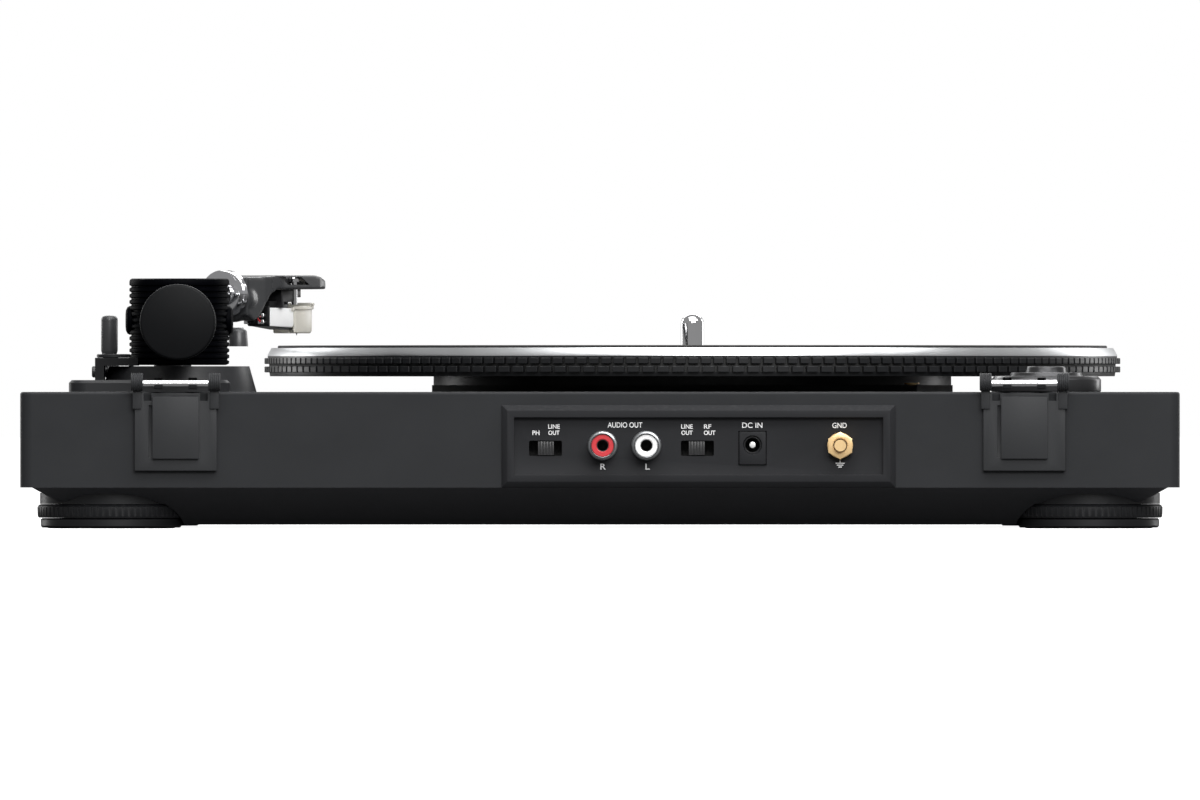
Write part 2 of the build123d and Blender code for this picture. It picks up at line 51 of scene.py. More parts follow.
SMOOTH_ANGLE = math.radians(32)
ROUND = 128                       # segments round a small turned piece
BIG_ROUND = 360                   # segments round the platter
LOOKS_ALONG = 0.99                # cosine above which a face counts as looking one way
MERGE_GAP = 0.000001              # metres between vertices that are one
Point = tuple[float, float, float]
Profile = Sequence[tuple[float, float]]

logging.basicConfig(level=logging.INFO, format="%(name)s: %(message)s")
log = logging.getLogger("record_player")


class Facing(Enum):
    """Which way the local +Z of a turned or traced piece points once it is placed."""

    UP = (0.0, 0.0, 0.0)
    DOWN = (math.pi, 0.0, 0.0)
    REAR = (-math.pi / 2, 0.0, 0.0)
    FRONT = (math.pi / 2, 0.0, 0.0)
    RIGHT = (0.0, math.pi / 2, 0.0)
    LEFT = (0.0, -math.pi / 2, 0.0)


@dataclass(frozen=True)
class Span:
    """A box in millimetres, read from a node of the frame."""

    low: Vector
    high: Vector

    @classmethod
    def of(cls, node: str) -> "Span":
        """Reads the box of a node.

        Args:
            node: name of the node.

        Returns:
            The box at rest, in millimetres.
        """
        low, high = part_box(node)
        return cls(Vector(low) / MM, Vector(high) / MM)

    @property
    def mid(self) -> Vector:
        """Centre of the box."""
        return (self.low + self.high) / 2

    @property
    def size(self) -> Vector:
        """Length, depth and height of the box."""
        return self.high - self.low


# ---------------------------------------------------------------- finishes
class Shades:
    """Shader node groups that several finishes share, each built once."""

    made: dict[str, bpy.types.NodeTree] = {}

    @staticmethod
    def _tree(name: str, inputs: dict[str, float], outputs: Iterable[tuple[str, str]]) -> bpy.types.NodeTree:
        """Starts a group with float inputs and typed outputs."""
        tree = bpy.data.node_groups.new(name, "ShaderNodeTree")
        for label, value in inputs.items():
            socket = tree.interface.new_socket(label, in_out="INPUT", socket_type="NodeSocketFloat")
            socket.default_value = value
        for label, kind in outputs:
            tree.interface.new_socket(label, in_out="OUTPUT", socket_type=kind)
        tree.nodes.new("NodeGroupInput")
        tree.nodes.new("NodeGroupOutput")
        Shades.made[name] = tree
        return tree

    @staticmethod
    def _noise(tree: bpy.types.NodeTree, detail: float, stretch: Point = (1, 1, 1)) -> bpy.types.Node:
        """Adds a noise that reads Object coordinates, stretched if wanted."""
        coords = tree.nodes.new("ShaderNodeTexCoord")
        turn = tree.nodes.new("ShaderNodeMapping")
        turn.inputs["Scale"].default_value = stretch
        noise = tree.nodes.new("ShaderNodeTexNoise")
        noise.inputs["Detail"].default_value = detail
        tree.links.new(coords.outputs["Object"], turn.inputs["Vector"])
        tree.links.new(turn.outputs["Vector"], noise.inputs["Vector"])
        return noise

    @classmethod
    def grain(cls) -> bpy.types.NodeTree:
        """Fine moulded grain: a height and a tone mask."""
        if "Grain" in cls.made:
            return cls.made["Grain"]
        tree = cls._tree("Grain", {"Scale": 2600.0, "Tone Scale": 60.0},
                         [("Height", "NodeSocketFloat"), ("Tone", "NodeSocketFloat")])
        source, sink = tree.nodes["Group Input"], tree.nodes["Group Output"]
        fine, broad = cls._noise(tree, 3.0), cls._noise(tree, 4.0)
        tree.links.new(source.outputs["Scale"], fine.inputs["Scale"])
        tree.links.new(source.outputs["Tone Scale"], broad.inputs["Scale"])
        tree.links.new(fine.outputs["Fac"], sink.inputs["Height"])
        tree.links.new(broad.outputs["Fac"], sink.inputs["Tone"])
        return tree

    @classmethod
    def brushing(cls) -> bpy.types.NodeTree:
        """Fine parallel scratches along X: a height and a tone mask."""
        if "Brushing" in cls.made:
            return cls.made["Brushing"]
        tree = cls._tree("Brushing", {"Scale": 900.0}, [("Height", "NodeSocketFloat"), ("Tone", "NodeSocketFloat")])
        source, sink = tree.nodes["Group Input"], tree.nodes["Group Output"]
        lines = cls._noise(tree, 2.0, (0.03, 1.0, 1.0))
        tree.links.new(source.outputs["Scale"], lines.inputs["Scale"])
        tree.links.new(lines.outputs["Fac"], sink.inputs["Height"])
        tree.links.new(lines.outputs["Fac"], sink.inputs["Tone"])
        return tree

    @classmethod
    def edge_wear(cls) -> bpy.types.NodeTree:
        """Mask of the worn outer edges, broken up by noise."""
        if "Edge Wear" in cls.made:
            return cls.made["Edge Wear"]
        tree = cls._tree("Edge Wear", {"Amount": 0.4, "Width": 0.0006}, [("Mask", "NodeSocketFloat")])
        source, sink = tree.nodes["Group Input"], tree.nodes["Group Output"]
        rounding = tree.nodes.new("ShaderNodeBevel")
        facing = tree.nodes.new("ShaderNodeNewGeometry")
        dot = tree.nodes.new("ShaderNodeVectorMath")
        dot.operation = "DOT_PRODUCT"
        edge = tree.nodes.new("ShaderNodeMapRange")
        edge.inputs["From Min"].default_value = 0.995
        edge.inputs["From Max"].default_value = 0.86
        broken = cls._noise(tree, 5.0)
        broken.inputs["Scale"].default_value = 220.0
        patchy, scaled = (tree.nodes.new("ShaderNodeMath") for _ in range(2))
        patchy.operation = scaled.operation = "MULTIPLY"
        tree.links.new(source.outputs["Width"], rounding.inputs["Radius"])
        tree.links.new(rounding.outputs["Normal"], dot.inputs[0])
        tree.links.new(facing.outputs["Normal"], dot.inputs[1])
        tree.links.new(dot.outputs["Value"], edge.inputs["Value"])
        tree.links.new(edge.outputs["Result"], patchy.inputs[0])
        tree.links.new(broken.outputs["Fac"], patchy.inputs[1])
        tree.links.new(patchy.outputs["Value"], scaled.inputs[0])
        tree.links.new(source.outputs["Amount"], scaled.inputs[1])
        tree.links.new(scaled.outputs["Value"], sink.inputs["Mask"])
        return tree

    @classmethod
    def dust(cls) -> bpy.types.NodeTree:
        """Mask of light dust that settles on faces that look up."""
        if "Dust" in cls.made:
            return cls.made["Dust"]
        tree = cls._tree("Dust", {"Amount": 0.1}, [("Mask", "NodeSocketFloat")])
        source, sink = tree.nodes["Group Input"], tree.nodes["Group Output"]
        facing = tree.nodes.new("ShaderNodeNewGeometry")
        parts = tree.nodes.new("ShaderNodeSeparateXYZ")
        specks = cls._noise(tree, 8.0)
        specks.inputs["Scale"].default_value = 700.0
        cut = tree.nodes.new("ShaderNodeMapRange")
        cut.inputs["From Min"].default_value = 0.52
        cut.inputs["From Max"].default_value = 0.8
        lift, scaled = (tree.nodes.new("ShaderNodeMath") for _ in range(2))
        lift.operation = scaled.operation = "MULTIPLY"
        lift.use_clamp = True
        tree.links.new(facing.outputs["Normal"], parts.inputs["Vector"])
        tree.links.new(specks.outputs["Fac"], cut.inputs["Value"])
        tree.links.new(cut.outputs["Result"], lift.inputs[0])
        tree.links.new(parts.outputs["Z"], lift.inputs[1])
        tree.links.new(lift.outputs["Value"], scaled.inputs[0])
        tree.links.new(source.outputs["Amount"], scaled.inputs[1])
        tree.links.new(scaled.outputs["Value"], sink.inputs["Mask"])
        return tree


@dataclass(frozen=True)
class Finish:
    """A surface finish, built as one material from the shared groups.

    Args:
        name: maker's name of the finish.
        slot: material slot of the record that the finish stands for; not used.
        colour: main colour, linear.
        rough: middle roughness.
        metal: 1 for bare metal.
        spread: how far the roughness and tone vary over the surface.
        grain: scale of the grain, larger is finer.
        relief: depth of the grain in metres.
        brushed: scratches along X in place of grain.
        wear: strength of the worn edges.
        wear_colour: colour under the worn edges.
        dust: strength of the dust on top faces.
        coat: weight of a clear coat.
        clear: 1 for a see-through finish.
        ior: refraction of a see-through finish.
        specular: specular level.
    """

    name: str
    slot: str
    colour: Point
    rough: float = 0.4
    metal: float = 0.0
    spread: float = 0.12
    grain: float = 2600.0
    relief: float = 0.00002
    brushed: bool = False
    wear: float = 0.3
    wear_colour: Point = (0.12, 0.12, 0.125)
    dust: float = 0.04
    coat: float = 0.0
    clear: float = 0.0
    ior: float = 1.5
    specular: float = 0.5

    def _group(self, tree: bpy.types.NodeTree, group: bpy.types.NodeTree, **values: float) -> bpy.types.Node:
        """Places a shared group in the material with its own values."""
        node = tree.nodes.new("ShaderNodeGroup")
        node.node_tree = group
        for label, value in values.items():
            node.inputs[label.replace("_", " ")].default_value = value
        return node

    def _mixed(self, tree: bpy.types.NodeTree, below: object, above: Point, mask: object) -> object:
        """Lays one colour over another by a mask."""
        mix = tree.nodes.new("ShaderNodeMix")
        mix.data_type = "RGBA"
        if isinstance(below, tuple):
            mix.inputs["A"].default_value = (*below, 1.0)
        else:
            tree.links.new(below, mix.inputs["A"])
        mix.inputs["B"].default_value = (*above, 1.0)
        tree.links.new(mask, mix.inputs["Factor"])
        return mix.outputs["Result"]

    def material(self) -> bpy.types.Material:
        """Builds the material, or returns it if it is there already.

        Returns:
            The material of this finish.
        """
        found = bpy.data.materials.get(self.name)
        if found:
            return found
        made = bpy.data.materials.new(self.name)
        made.use_nodes = True
        tree = made.node_tree
        shader = tree.nodes["Principled BSDF"]
        if self.brushed:
            surface = self._group(tree, Shades.brushing(), Scale=self.grain)
        else:
            surface = self._group(tree, Shades.grain(), Scale=self.grain)
        darker = tuple(c * (1 - self.spread) for c in self.colour)
        lighter = tuple(min(1.0, c * (1 + self.spread)) for c in self.colour)
        colour = self._mixed(tree, darker, lighter, surface.outputs["Tone"])
        if self.wear:
            worn = self._group(tree, Shades.edge_wear(), Amount=self.wear)
            colour = self._mixed(tree, colour, self.wear_colour, worn.outputs["Mask"])
        if self.dust:
            dusty = self._group(tree, Shades.dust(), Amount=self.dust)
            colour = self._mixed(tree, colour, (0.42, 0.41, 0.4), dusty.outputs["Mask"])
        tree.links.new(colour, shader.inputs["Base Color"])
        gloss = tree.nodes.new("ShaderNodeMapRange")
        gloss.inputs["To Min"].default_value = max(0.02, self.rough * (1 - self.spread))
        gloss.inputs["To Max"].default_value = min(1.0, self.rough * (1 + self.spread))
        tree.links.new(surface.outputs["Tone"], gloss.inputs["Value"])
        tree.links.new(gloss.outputs["Result"], shader.inputs["Roughness"])
        bump = tree.nodes.new("ShaderNodeBump")
        bump.inputs["Strength"].default_value = 0.5
        bump.inputs["Distance"].default_value = self.relief
        tree.links.new(surface.outputs["Height"], bump.inputs["Height"])
        tree.links.new(bump.outputs["Normal"], shader.inputs["Normal"])
        shader.inputs["Metallic"].default_value = self.metal
        shader.inputs["Coat Weight"].default_value = self.coat
        shader.inputs["Transmission Weight"].default_value = self.clear
        shader.inputs["IOR"].default_value = self.ior
        shader.inputs["Specular IOR Level"].default_value = self.specular
        return made


# ---------------------------------------------------------------- modelling bench
class Bench:
    """The modelling bench: primitives, edit-mode shaping and finishing. Sizes are in millimetres."""

    @staticmethod
    def clear() -> None:
        """Deselects everything."""
        if bpy.context.object and bpy.context.object.mode != "OBJECT":
            bpy.ops.object.mode_set(mode="OBJECT")
        bpy.ops.object.select_all(action="DESELECT")

    @staticmethod
    def only(obj: bpy.types.Object) -> bpy.types.Object:
        """Makes one object the selected and active one."""
        Bench.clear()
        obj.select_set(True)
        bpy.context.view_layer.objects.active = obj
        return obj

    @staticmethod
    def named(name: str) -> bpy.types.Object:
        """Names the object that was just added."""
        obj = bpy.context.object
        obj.name = obj.data.name = name
        return obj

    @staticmethod
    def choose(obj: bpy.types.Object, wanted: Callable[[bpy.types.MeshPolygon], bool]) -> None:
        """Goes into edit mode with the wanted faces selected.

        Args:
            obj: the mesh object.
            wanted: says whether a face is selected, from its place or normal.
        """
        Bench.only(obj)
        bpy.ops.object.mode_set(mode="EDIT")
        bpy.ops.mesh.select_mode(type="FACE")
        bpy.ops.mesh.select_all(action="DESELECT")
        bpy.ops.object.mode_set(mode="OBJECT")
        for face in obj.data.polygons:
            face.select = wanted(face)
        bpy.ops.object.mode_set(mode="EDIT")

    @staticmethod
    def modify(obj: bpy.types.Object, kind: str, **values: object) -> None:
        """Adds one modifier, sets it and applies it."""
        Bench.only(obj)
        added = obj.modifiers.new(kind.title(), kind)
        for label, value in values.items():
            setattr(added, label, value)
        bpy.ops.object.modifier_apply(modifier=added.name)

    @staticmethod
    def soften(obj: bpy.types.Object, width: float, segments: int = 2, angle: float = 32) -> None:
        """Rounds the sharp edges by a width in millimetres."""
        Bench.modify(obj, "BEVEL", width=width * MM, segments=segments, limit_method="ANGLE",
                     angle_limit=math.radians(angle), harden_normals=False)

    @staticmethod
    def settle(obj: bpy.types.Object, at: Sequence[float] = (0, 0, 0), facing: Facing = Facing.UP,
               turn: float = 0.0) -> bpy.types.Object:
        """Puts a piece in its place and applies the place to its mesh.

        Args:
            obj: the piece, drawn round the origin.
            at: where its origin goes, in millimetres.
            facing: where its local +Z points.
            turn: extra turn about the upright axis, in degrees.

        Returns:
            The same piece.
        """
        lay = Matrix.Rotation(math.radians(turn), 4, "Z")
        for value, axis in zip(facing.value, "XYZ"):
            lay = lay @ Matrix.Rotation(value, 4, axis)
        obj.matrix_world = Matrix.Translation(Vector(at) * MM) @ lay
        Bench.only(obj)
        bpy.ops.object.transform_apply(location=True, rotation=True, scale=True)
        return obj

    @staticmethod
    def outward(obj: bpy.types.Object) -> None:
        """Merges doubles and turns every face outwards."""
        Bench.only(obj)
        bpy.ops.object.mode_set(mode="EDIT")
        bpy.ops.mesh.select_all(action="SELECT")
        bpy.ops.mesh.remove_doubles(threshold=MERGE_GAP)
        bpy.ops.mesh.normals_make_consistent(inside=False)
        bpy.ops.object.mode_set(mode="OBJECT")

    @staticmethod
    def turned(name: str, profile: Profile, segments: int = ROUND, ring: bool = False) -> bpy.types.Object:
        """Turns a piece on the lathe: a circle, extruded and resized along the profile.

        Args:
            name: name of the piece.
            profile: (radius, height) steps; a radius of 0 closes the end in a pole.
            segments: number of sides.
            ring: the profile closes on itself, as on a washer.

        Returns:
            The new piece, round the origin, its axis along Z.
        """
        Bench.clear()
        radius, height = profile[0]
        bpy.ops.mesh.primitive_circle_add(vertices=segments, radius=radius * MM, fill_type="NOTHING",
                                          location=(0, 0, height * MM))
        obj = Bench.named(name)
        bpy.ops.object.transform_apply(location=True)
        bpy.ops.object.mode_set(mode="EDIT")
        bpy.ops.mesh.select_mode(type="VERT")
        bpy.ops.mesh.select_all(action="SELECT")
        for step_radius, step_height in profile[1:]:
            rise = (0, 0, (step_height - height) * MM)
            bpy.ops.mesh.extrude_region_move(TRANSFORM_OT_translate={"value": rise})
            if step_radius == 0:
                bpy.ops.mesh.merge(type="CENTER")
                break
            ratio = step_radius / radius
            bpy.ops.transform.resize(value=(ratio, ratio, 1), center_override=(0, 0, step_height * MM))
            radius, height = step_radius, step_height
        if ring:
            Bench._pick(obj, list(range(segments)) + list(range(len(obj.data.vertices) - segments,
                                                                len(obj.data.vertices))))
            bpy.ops.mesh.bridge_edge_loops()
        else:
            if profile[-1][0] != 0:
                bpy.ops.mesh.edge_face_add()
            Bench._pick(obj, list(range(segments)))
            bpy.ops.mesh.edge_face_add()
        bpy.ops.object.mode_set(mode="OBJECT")
        Bench.outward(obj)
        return obj

    @staticmethod
    def _pick(obj: bpy.types.Object, numbers: Iterable[int]) -> None:
        """Selects vertices by number and stays in edit mode."""
        bpy.ops.mesh.select_all(action="DESELECT")
        bpy.ops.object.mode_set(mode="OBJECT")
        for number in numbers:
            obj.data.vertices[number].select = True
        bpy.ops.object.mode_set(mode="EDIT")

    @staticmethod
    def traced(name: str, outline: Profile, depth: float) -> bpy.types.Object:
        """Extrudes one vertex along an outline, fills it and gives it a thickness.

        Args:
            name: name of the piece.
            outline: (x, y) corners in order.
            depth: thickness along Z, centred on the outline.

        Returns:
            The new piece.
        """
        Bench.clear()
        bpy.ops.mesh.primitive_plane_add(size=MM)
        obj = Bench.named(name)
        bpy.ops.object.mode_set(mode="EDIT")
        bpy.ops.mesh.select_mode(type="VERT")
        bpy.ops.mesh.select_all(action="SELECT")
        bpy.ops.mesh.merge(type="CENTER")
        here = Vector((0.0, 0.0))
        for step, corner in enumerate(outline):
            move = Vector(corner) - here
            slide = (move.x * MM, move.y * MM, -depth / 2 * MM if step == 0 else 0)
            if step == 0:
                bpy.ops.transform.translate(value=slide)
            else:
                bpy.ops.mesh.extrude_region_move(TRANSFORM_OT_translate={"value": slide})
            here = Vector(corner)
        bpy.ops.mesh.select_all(action="SELECT")
        bpy.ops.mesh.edge_face_add()
        bpy.ops.mesh.extrude_region_move(TRANSFORM_OT_translate={"value": (0, 0, depth * MM)})
        bpy.ops.object.mode_set(mode="OBJECT")
        Bench.outward(obj)
        return obj

    @staticmethod
    def upright(name: str, outline: Profile, depth: float) -> bpy.types.Object:
        """Traces an outline as a side view: its x runs forwards, its y is the height.

        Args:
            name: name of the piece.
            outline: (forwards, height) corners in order.
            depth: width across, centred on the outline.

        Returns:
            The new piece, standing up.
        """
        obj = Bench.settle(Bench.traced(name, outline, depth), facing=Facing.FRONT)
        Bench.outward(obj)
        return obj

    @staticmethod
    def bent(name: str, path: Sequence[Sequence[float]], radius: float, rounds: int = 3, steps: int = 12,
             flat: float = 0.0) -> bpy.types.Object:
        """Bends a rod or strip through points, as a curve that becomes a mesh.

        Args:
            name: name of the piece.
            path: the points it goes through, in millimetres.
            radius: its radius, or the rounding of a strip.
            rounds: how finely it is rounded.
            steps: pieces between two points.
            flat: half the width of a strip, 0 for a rod.

        Returns:
            The new piece.
        """
        Bench.clear()
        bpy.ops.curve.primitive_bezier_curve_add()
        rod = bpy.context.object
        rod.name = rod.data.name = name
        points = rod.data.splines[0].bezier_points
        points.add(len(path) - len(points))
        for point, place in zip(points, path):
            point.co = Vector(place) * MM
            point.handle_left_type = point.handle_right_type = "AUTO"
        rod.data.extrude, rod.data.bevel_depth = flat * MM, radius * MM
        rod.data.bevel_resolution, rod.data.resolution_u, rod.data.use_fill_caps = rounds, steps, True
        bpy.ops.object.convert(target="MESH")
        return Bench.settle(rod)

    @staticmethod
    def block(name: str, low: Sequence[float], high: Sequence[float], bevel: float = 0.3,
              segments: int = 2) -> bpy.types.Object:
        """Adds a cube at its size and place and rounds its edges."""
        Bench.clear()
        low, high = Vector(low), Vector(high)
        bpy.ops.mesh.primitive_cube_add(size=1, location=(low + high) / 2 * MM, scale=(high - low) * MM)
        obj = Bench.named(name)
        bpy.ops.object.transform_apply(location=True, rotation=True, scale=True)
        if bevel:
            Bench.soften(obj, bevel, segments)
        return obj

    @staticmethod
    def sunk(obj: bpy.types.Object, direction: Point, rim: float, depth: float,
             where: Callable[[Vector], bool] = lambda place: True) -> None:
        """Insets the faces that look one way and pushes them in, or out if depth is negative.

        Args:
            obj: the piece.
            direction: where the faces look.
            rim: width left round them.
            depth: how far they go in.
            where: narrows the choice by the face's centre, in metres.
        """
        way = Vector(direction)
        Bench.choose(obj, lambda face: face.normal.dot(way) > LOOKS_ALONG and where(face.center))
        bpy.ops.mesh.inset(thickness=rim * MM, depth=0)
        bpy.ops.mesh.extrude_region_move(TRANSFORM_OT_translate={"value": way * (-depth * MM)})
        bpy.ops.object.mode_set(mode="OBJECT")

    @staticmethod
    def stepped(obj: bpy.types.Object, direction: Point, steps: Profile) -> None:
        """Insets the faces that look one way, step by step.

        Args:
            obj: the piece.
            direction: where the faces look.
            steps: (rim, rise) of each step; a step with both makes a slope, a negative rise goes in.
        """
        way = Vector(direction)
        Bench.choose(obj, lambda face: face.normal.dot(way) > LOOKS_ALONG)
        for rim, rise in steps:
            if rim:
                bpy.ops.mesh.inset(thickness=rim * MM, depth=rise * MM)
            else:
                bpy.ops.mesh.extrude_region_move(TRANSFORM_OT_translate={"value": way * (rise * MM)})
        bpy.ops.object.mode_set(mode="OBJECT")

    @staticmethod
    def carved(obj: bpy.types.Object, *cutters: bpy.types.Object, how: str = "DIFFERENCE") -> bpy.types.Object:
        """Cuts tools out of a piece, joins them to it or keeps what they share, and removes the tools."""
        for cutter in cutters:
            Bench.modify(obj, "BOOLEAN", object=cutter, operation=how, solver="EXACT")
            bpy.data.objects.remove(cutter, do_unlink=True)
        return obj

    @staticmethod
    def repeated(obj: bpy.types.Object, count: int, centre: Sequence[float], axis: str = "Z",
                 arc: float = 360.0) -> bpy.types.Object:
        """Repeats a piece round an axis through a centre and applies the copies."""
        Bench.clear()
        pivot = bpy.data.objects.new("pivot", None)
        bpy.context.collection.objects.link(pivot)
        middle = Vector(centre) * MM
        step = Matrix.Rotation(math.radians(arc) / count, 4, axis)
        pivot.matrix_world = Matrix.Translation(middle) @ step @ Matrix.Translation(-middle)
        bpy.context.view_layer.update()
        Bench.modify(obj, "ARRAY", count=count, use_relative_offset=False, use_object_offset=True,
                     offset_object=pivot)
        bpy.data.objects.remove(pivot, do_unlink=True)
        return obj

    @staticmethod
    def joined(name: str, pieces: Sequence[bpy.types.Object]) -> bpy.types.Object:
        """Joins pieces of one material into one object."""
        Bench.clear()
        for piece in pieces:
            piece.select_set(True)
        bpy.context.view_layer.objects.active = pieces[0]
        bpy.ops.object.join()
        return Bench.named(name)

    @staticmethod
    def done(obj: bpy.types.Object, finish: Finish, body: str, *nodes: str) -> bpy.types.Object:
        """Shades, dresses and hangs a piece on its body.

        Args:
            obj: the piece.
            finish: its finish.
            body: the body it moves with.
            nodes: CAD nodes it stands for.

        Returns:
            The same piece.
        """
        Bench.only(obj)
        bpy.ops.object.shade_smooth_by_angle(angle=SMOOTH_ANGLE)
        obj.data.materials.clear()
        obj.data.materials.append(finish.material())
        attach(obj, body)
        if nodes:
            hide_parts(*nodes)
        log.info("%s on %s, %d faces", obj.name, body, len(obj.data.polygons))
        return obj


# ---------------------------------------------------------------- the finishes used
SHELL = Finish("plinth_shell_satin", "black_satin", (0.0265, 0.0275, 0.0295), rough=0.45, relief=0.00001, wear=0.1,
               specular=0.1)
PAN = Finish("pan_moulding", "pan_black", (0.04, 0.041, 0.046), rough=0.6, wear=0.0)
FOOT = Finish("foot_housing_satin", "black_satin", (0.011, 0.0115, 0.013), rough=0.38, specular=0.35)
TREAD = Finish("foot_tread_rubber", "rubber", (0.012, 0.012, 0.012), rough=0.8, wear=0.0)
RUBBER = Finish("belt_rubber", "rubber", (0.01, 0.01, 0.01), rough=0.7, wear=0.0)
MAT = Finish("mat_rubber", "rubber", (0.014, 0.014, 0.014), rough=0.75, wear=0.0, dust=0.2)
RIM = Finish("platter_rim_paint", "platter_paint", (0.009, 0.0094, 0.0105), rough=0.34, relief=0.000006, wear=0.06,
             specular=0.35)
# painted shade: the strobe groove's band is painted darker than the rim to stand in for the shade between the pads
GROOVE_SHADE = Finish("strobe_groove_painted_shade", "platter_paint", (0.006, 0.006, 0.006), rough=0.6, wear=0.0)
EDGE = Finish("platter_bright_edge", "platter_paint", (0.75, 0.76, 0.77), rough=0.34, metal=1.0, relief=0.000002,
              wear=0.0, dust=0.0)
CHROME = Finish("polished_chrome", "chrome", (0.8, 0.8, 0.81), rough=0.06, metal=1.0, relief=0.000001, wear=0.0,
                dust=0.02)
STEEL = Finish("brushed_steel", "steel", (0.55, 0.55, 0.55), rough=0.3, metal=1.0, brushed=True, relief=0.000004,
               wear=0.0)
BRASS = Finish("terminal_brass", "brass", (0.86, 0.6, 0.3), rough=0.3, metal=0.35, relief=0.000003, wear=0.2,
               wear_colour=(0.9, 0.72, 0.4))
BLACK = Finish("fine_black_moulding", "black_plastic", (0.006, 0.0063, 0.007), rough=0.45, wear=0.1, specular=0.2)
DEEP = Finish("deep_black_moulding", "black_plastic", (0.006, 0.006, 0.007), rough=0.5)
GLOSS = Finish("tower_gloss_black", "gloss_black", (0.0008, 0.0009, 0.0016), rough=0.5, relief=0.000003, wear=0.0,
               dust=0.0, specular=0.02)
DARK = Finish("dark_anodised", "dark_metal", (0.017, 0.0175, 0.019), rough=0.4, relief=0.000006, wear=0.15,
              specular=0.3)
ADAPTER = Finish("adapter_anodised", "adapter_metal", (0.05, 0.05, 0.052), rough=0.3, metal=0.7, relief=0.000004)
RED = Finish("socket_red", "red_plastic", (0.62, 0.045, 0.055), rough=0.3, relief=0.000003, wear=0.0)
WHITE = Finish("socket_white", "white_plastic", (0.95, 0.95, 0.95), rough=0.32, relief=0.000003, wear=0.0)
STYLUS = Finish("stylus_block_white", "white_plastic", (0.9, 0.9, 0.9), rough=0.38, relief=0.000004, wear=0.0)
INK = Finish("label_ink", "white_plastic", (0.95, 0.95, 0.95), rough=0.6, relief=0.0, wear=0.0, dust=0.0)
PANEL = Finish("panel_moulding", "black_plastic", (0.023, 0.0235, 0.0255), rough=0.5, relief=0.00001, wear=0.06,
               specular=0.08)
# partly wear, partly painted highlight: the strong worn-edge colour lightens the rib ridges so the ribs read light and
# dark
SLIDER = Finish("slider_moulding", "black_plastic", (0.02, 0.02, 0.021), rough=0.4, wear=0.5)
NICKEL = Finish("socket_nickel", "steel", (0.3, 0.31, 0.32), rough=0.28, metal=0.8, relief=0.000002, wear=0.25,
                wear_colour=(0.8, 0.8, 0.8))
BRIGHT = Finish("contact_bright", "chrome", (0.9, 0.9, 0.9), rough=0.2, metal=0.3, relief=0.000001, wear=0.0)
HINGE = Finish("hinge_moulding", "black_plastic", (0.035, 0.036, 0.038), rough=0.48, relief=0.00001, wear=0.1,
               specular=0.15)
PIN = Finish("hinge_pin_polished", "steel", (0.75, 0.75, 0.76), rough=0.2, metal=1.0, brushed=True, relief=0.000002,
             wear=0.0, dust=0.0)
LEVER = Finish("lever_satin", "dark_metal", (0.045, 0.046, 0.048), rough=0.32, relief=0.000004, wear=0.05)
# partly wear, partly painted highlight: the lighter worn-edge colour brightens the weight's rim as its rim glint
WEIGHT = Finish("weight_anodised", "dark_metal", (0.0045, 0.0048, 0.0054), rough=0.42, relief=0.000003, wear=0.35,
                specular=0.1)
HEAD = Finish("headshell_anodised", "black_satin", (0.03, 0.031, 0.033), rough=0.27, relief=0.000002, wear=0.05)
SMOKED = Finish("collar_smoked_chrome", "dark_metal", (0.75, 0.75, 0.77), rough=0.12, metal=1.0, relief=0.000001,
                wear=0.0, dust=0.0)
CARTRIDGE = Finish("cartridge_moulding", "black_plastic", (0.012, 0.012, 0.013), rough=0.36, wear=0.05, specular=0.3)
LEAD = Finish("lead_green", "pcb", (0.02, 0.25, 0.08), rough=0.5, wear=0.0)
CLEAR = Finish("guard_clear", "clear", (0.96, 0.9, 0.82), rough=0.25, relief=0.000001, wear=0.0, dust=0.0,
               clear=0.45, ior=1.46)
BOARD = Finish("board_green", "pcb", (0.015, 0.12, 0.05), rough=0.4, wear=0.0)
PARTS = Finish("board_part_black", "black_plastic", (0.015, 0.015, 0.016), rough=0.4, wear=0.0)


@dataclass
class Carried:
    """CAD nodes whose shape is right, each given its finish."""

    finishes: dict[str, Finish] = field(default_factory=lambda: {
        "plinth_shell": SHELL, "bottom_pan": PAN, "pan_screws": STEEL, "switch_bodies": DEEP,
        "hinge_pins": STEEL, "main_board": BOARD, "board_parts": PARTS, "wiring": RUBBER,
        "bearing_housing": BRASS, "motor_can": STEEL, "motor_pulley": BRASS, "drive_belt": RUBBER,
        "arm_base": DARK, "cue_bracket": BLACK, "lift_bar": BLACK, "arm_clip": BLACK, "pivot_block": DARK,
        "counter_stub": STEEL, "weight_sleeve": STEEL, "ground_post": BRASS, "dc_pin": CHROME,
        "foot_housings": FOOT, "terminal_frame": BLACK, "rca_shells": STEEL, "rca_insert_red": RED,
        "rca_insert_white": WHITE, "dc_socket": GLOSS, "ground_nut": BRASS, "hinge_sockets": BLACK,
        "hinge_leaf_left": BLACK, "hinge_leaf_right": BLACK, "speed_knob": DARK, "adapter_45": ADAPTER,
        "anti_skate_dial": DARK, "cue_lever": BLACK, "arm_tower": GLOSS, "arm_tube": CHROME,
        "locking_collar": CHROME, "headshell": BLACK, "cartridge_body": BLACK, "stylus_holder": STYLUS,
        "cantilever": STEEL, "stylus_guard": CLEAR, "counterweight": DARK, "force_dial": DARK,
        "switch_slider_1": DEEP, "switch_slider_2": DEEP})

    def build(self) -> None:
        """Gives each node its material."""
        for node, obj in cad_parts.items():
            finish = self.finishes.get(node, FOOT)
            obj.data.materials.clear()
            obj.data.materials.append(finish.material())
            log.info("CAD node %s has finish %s", node, finish.name)


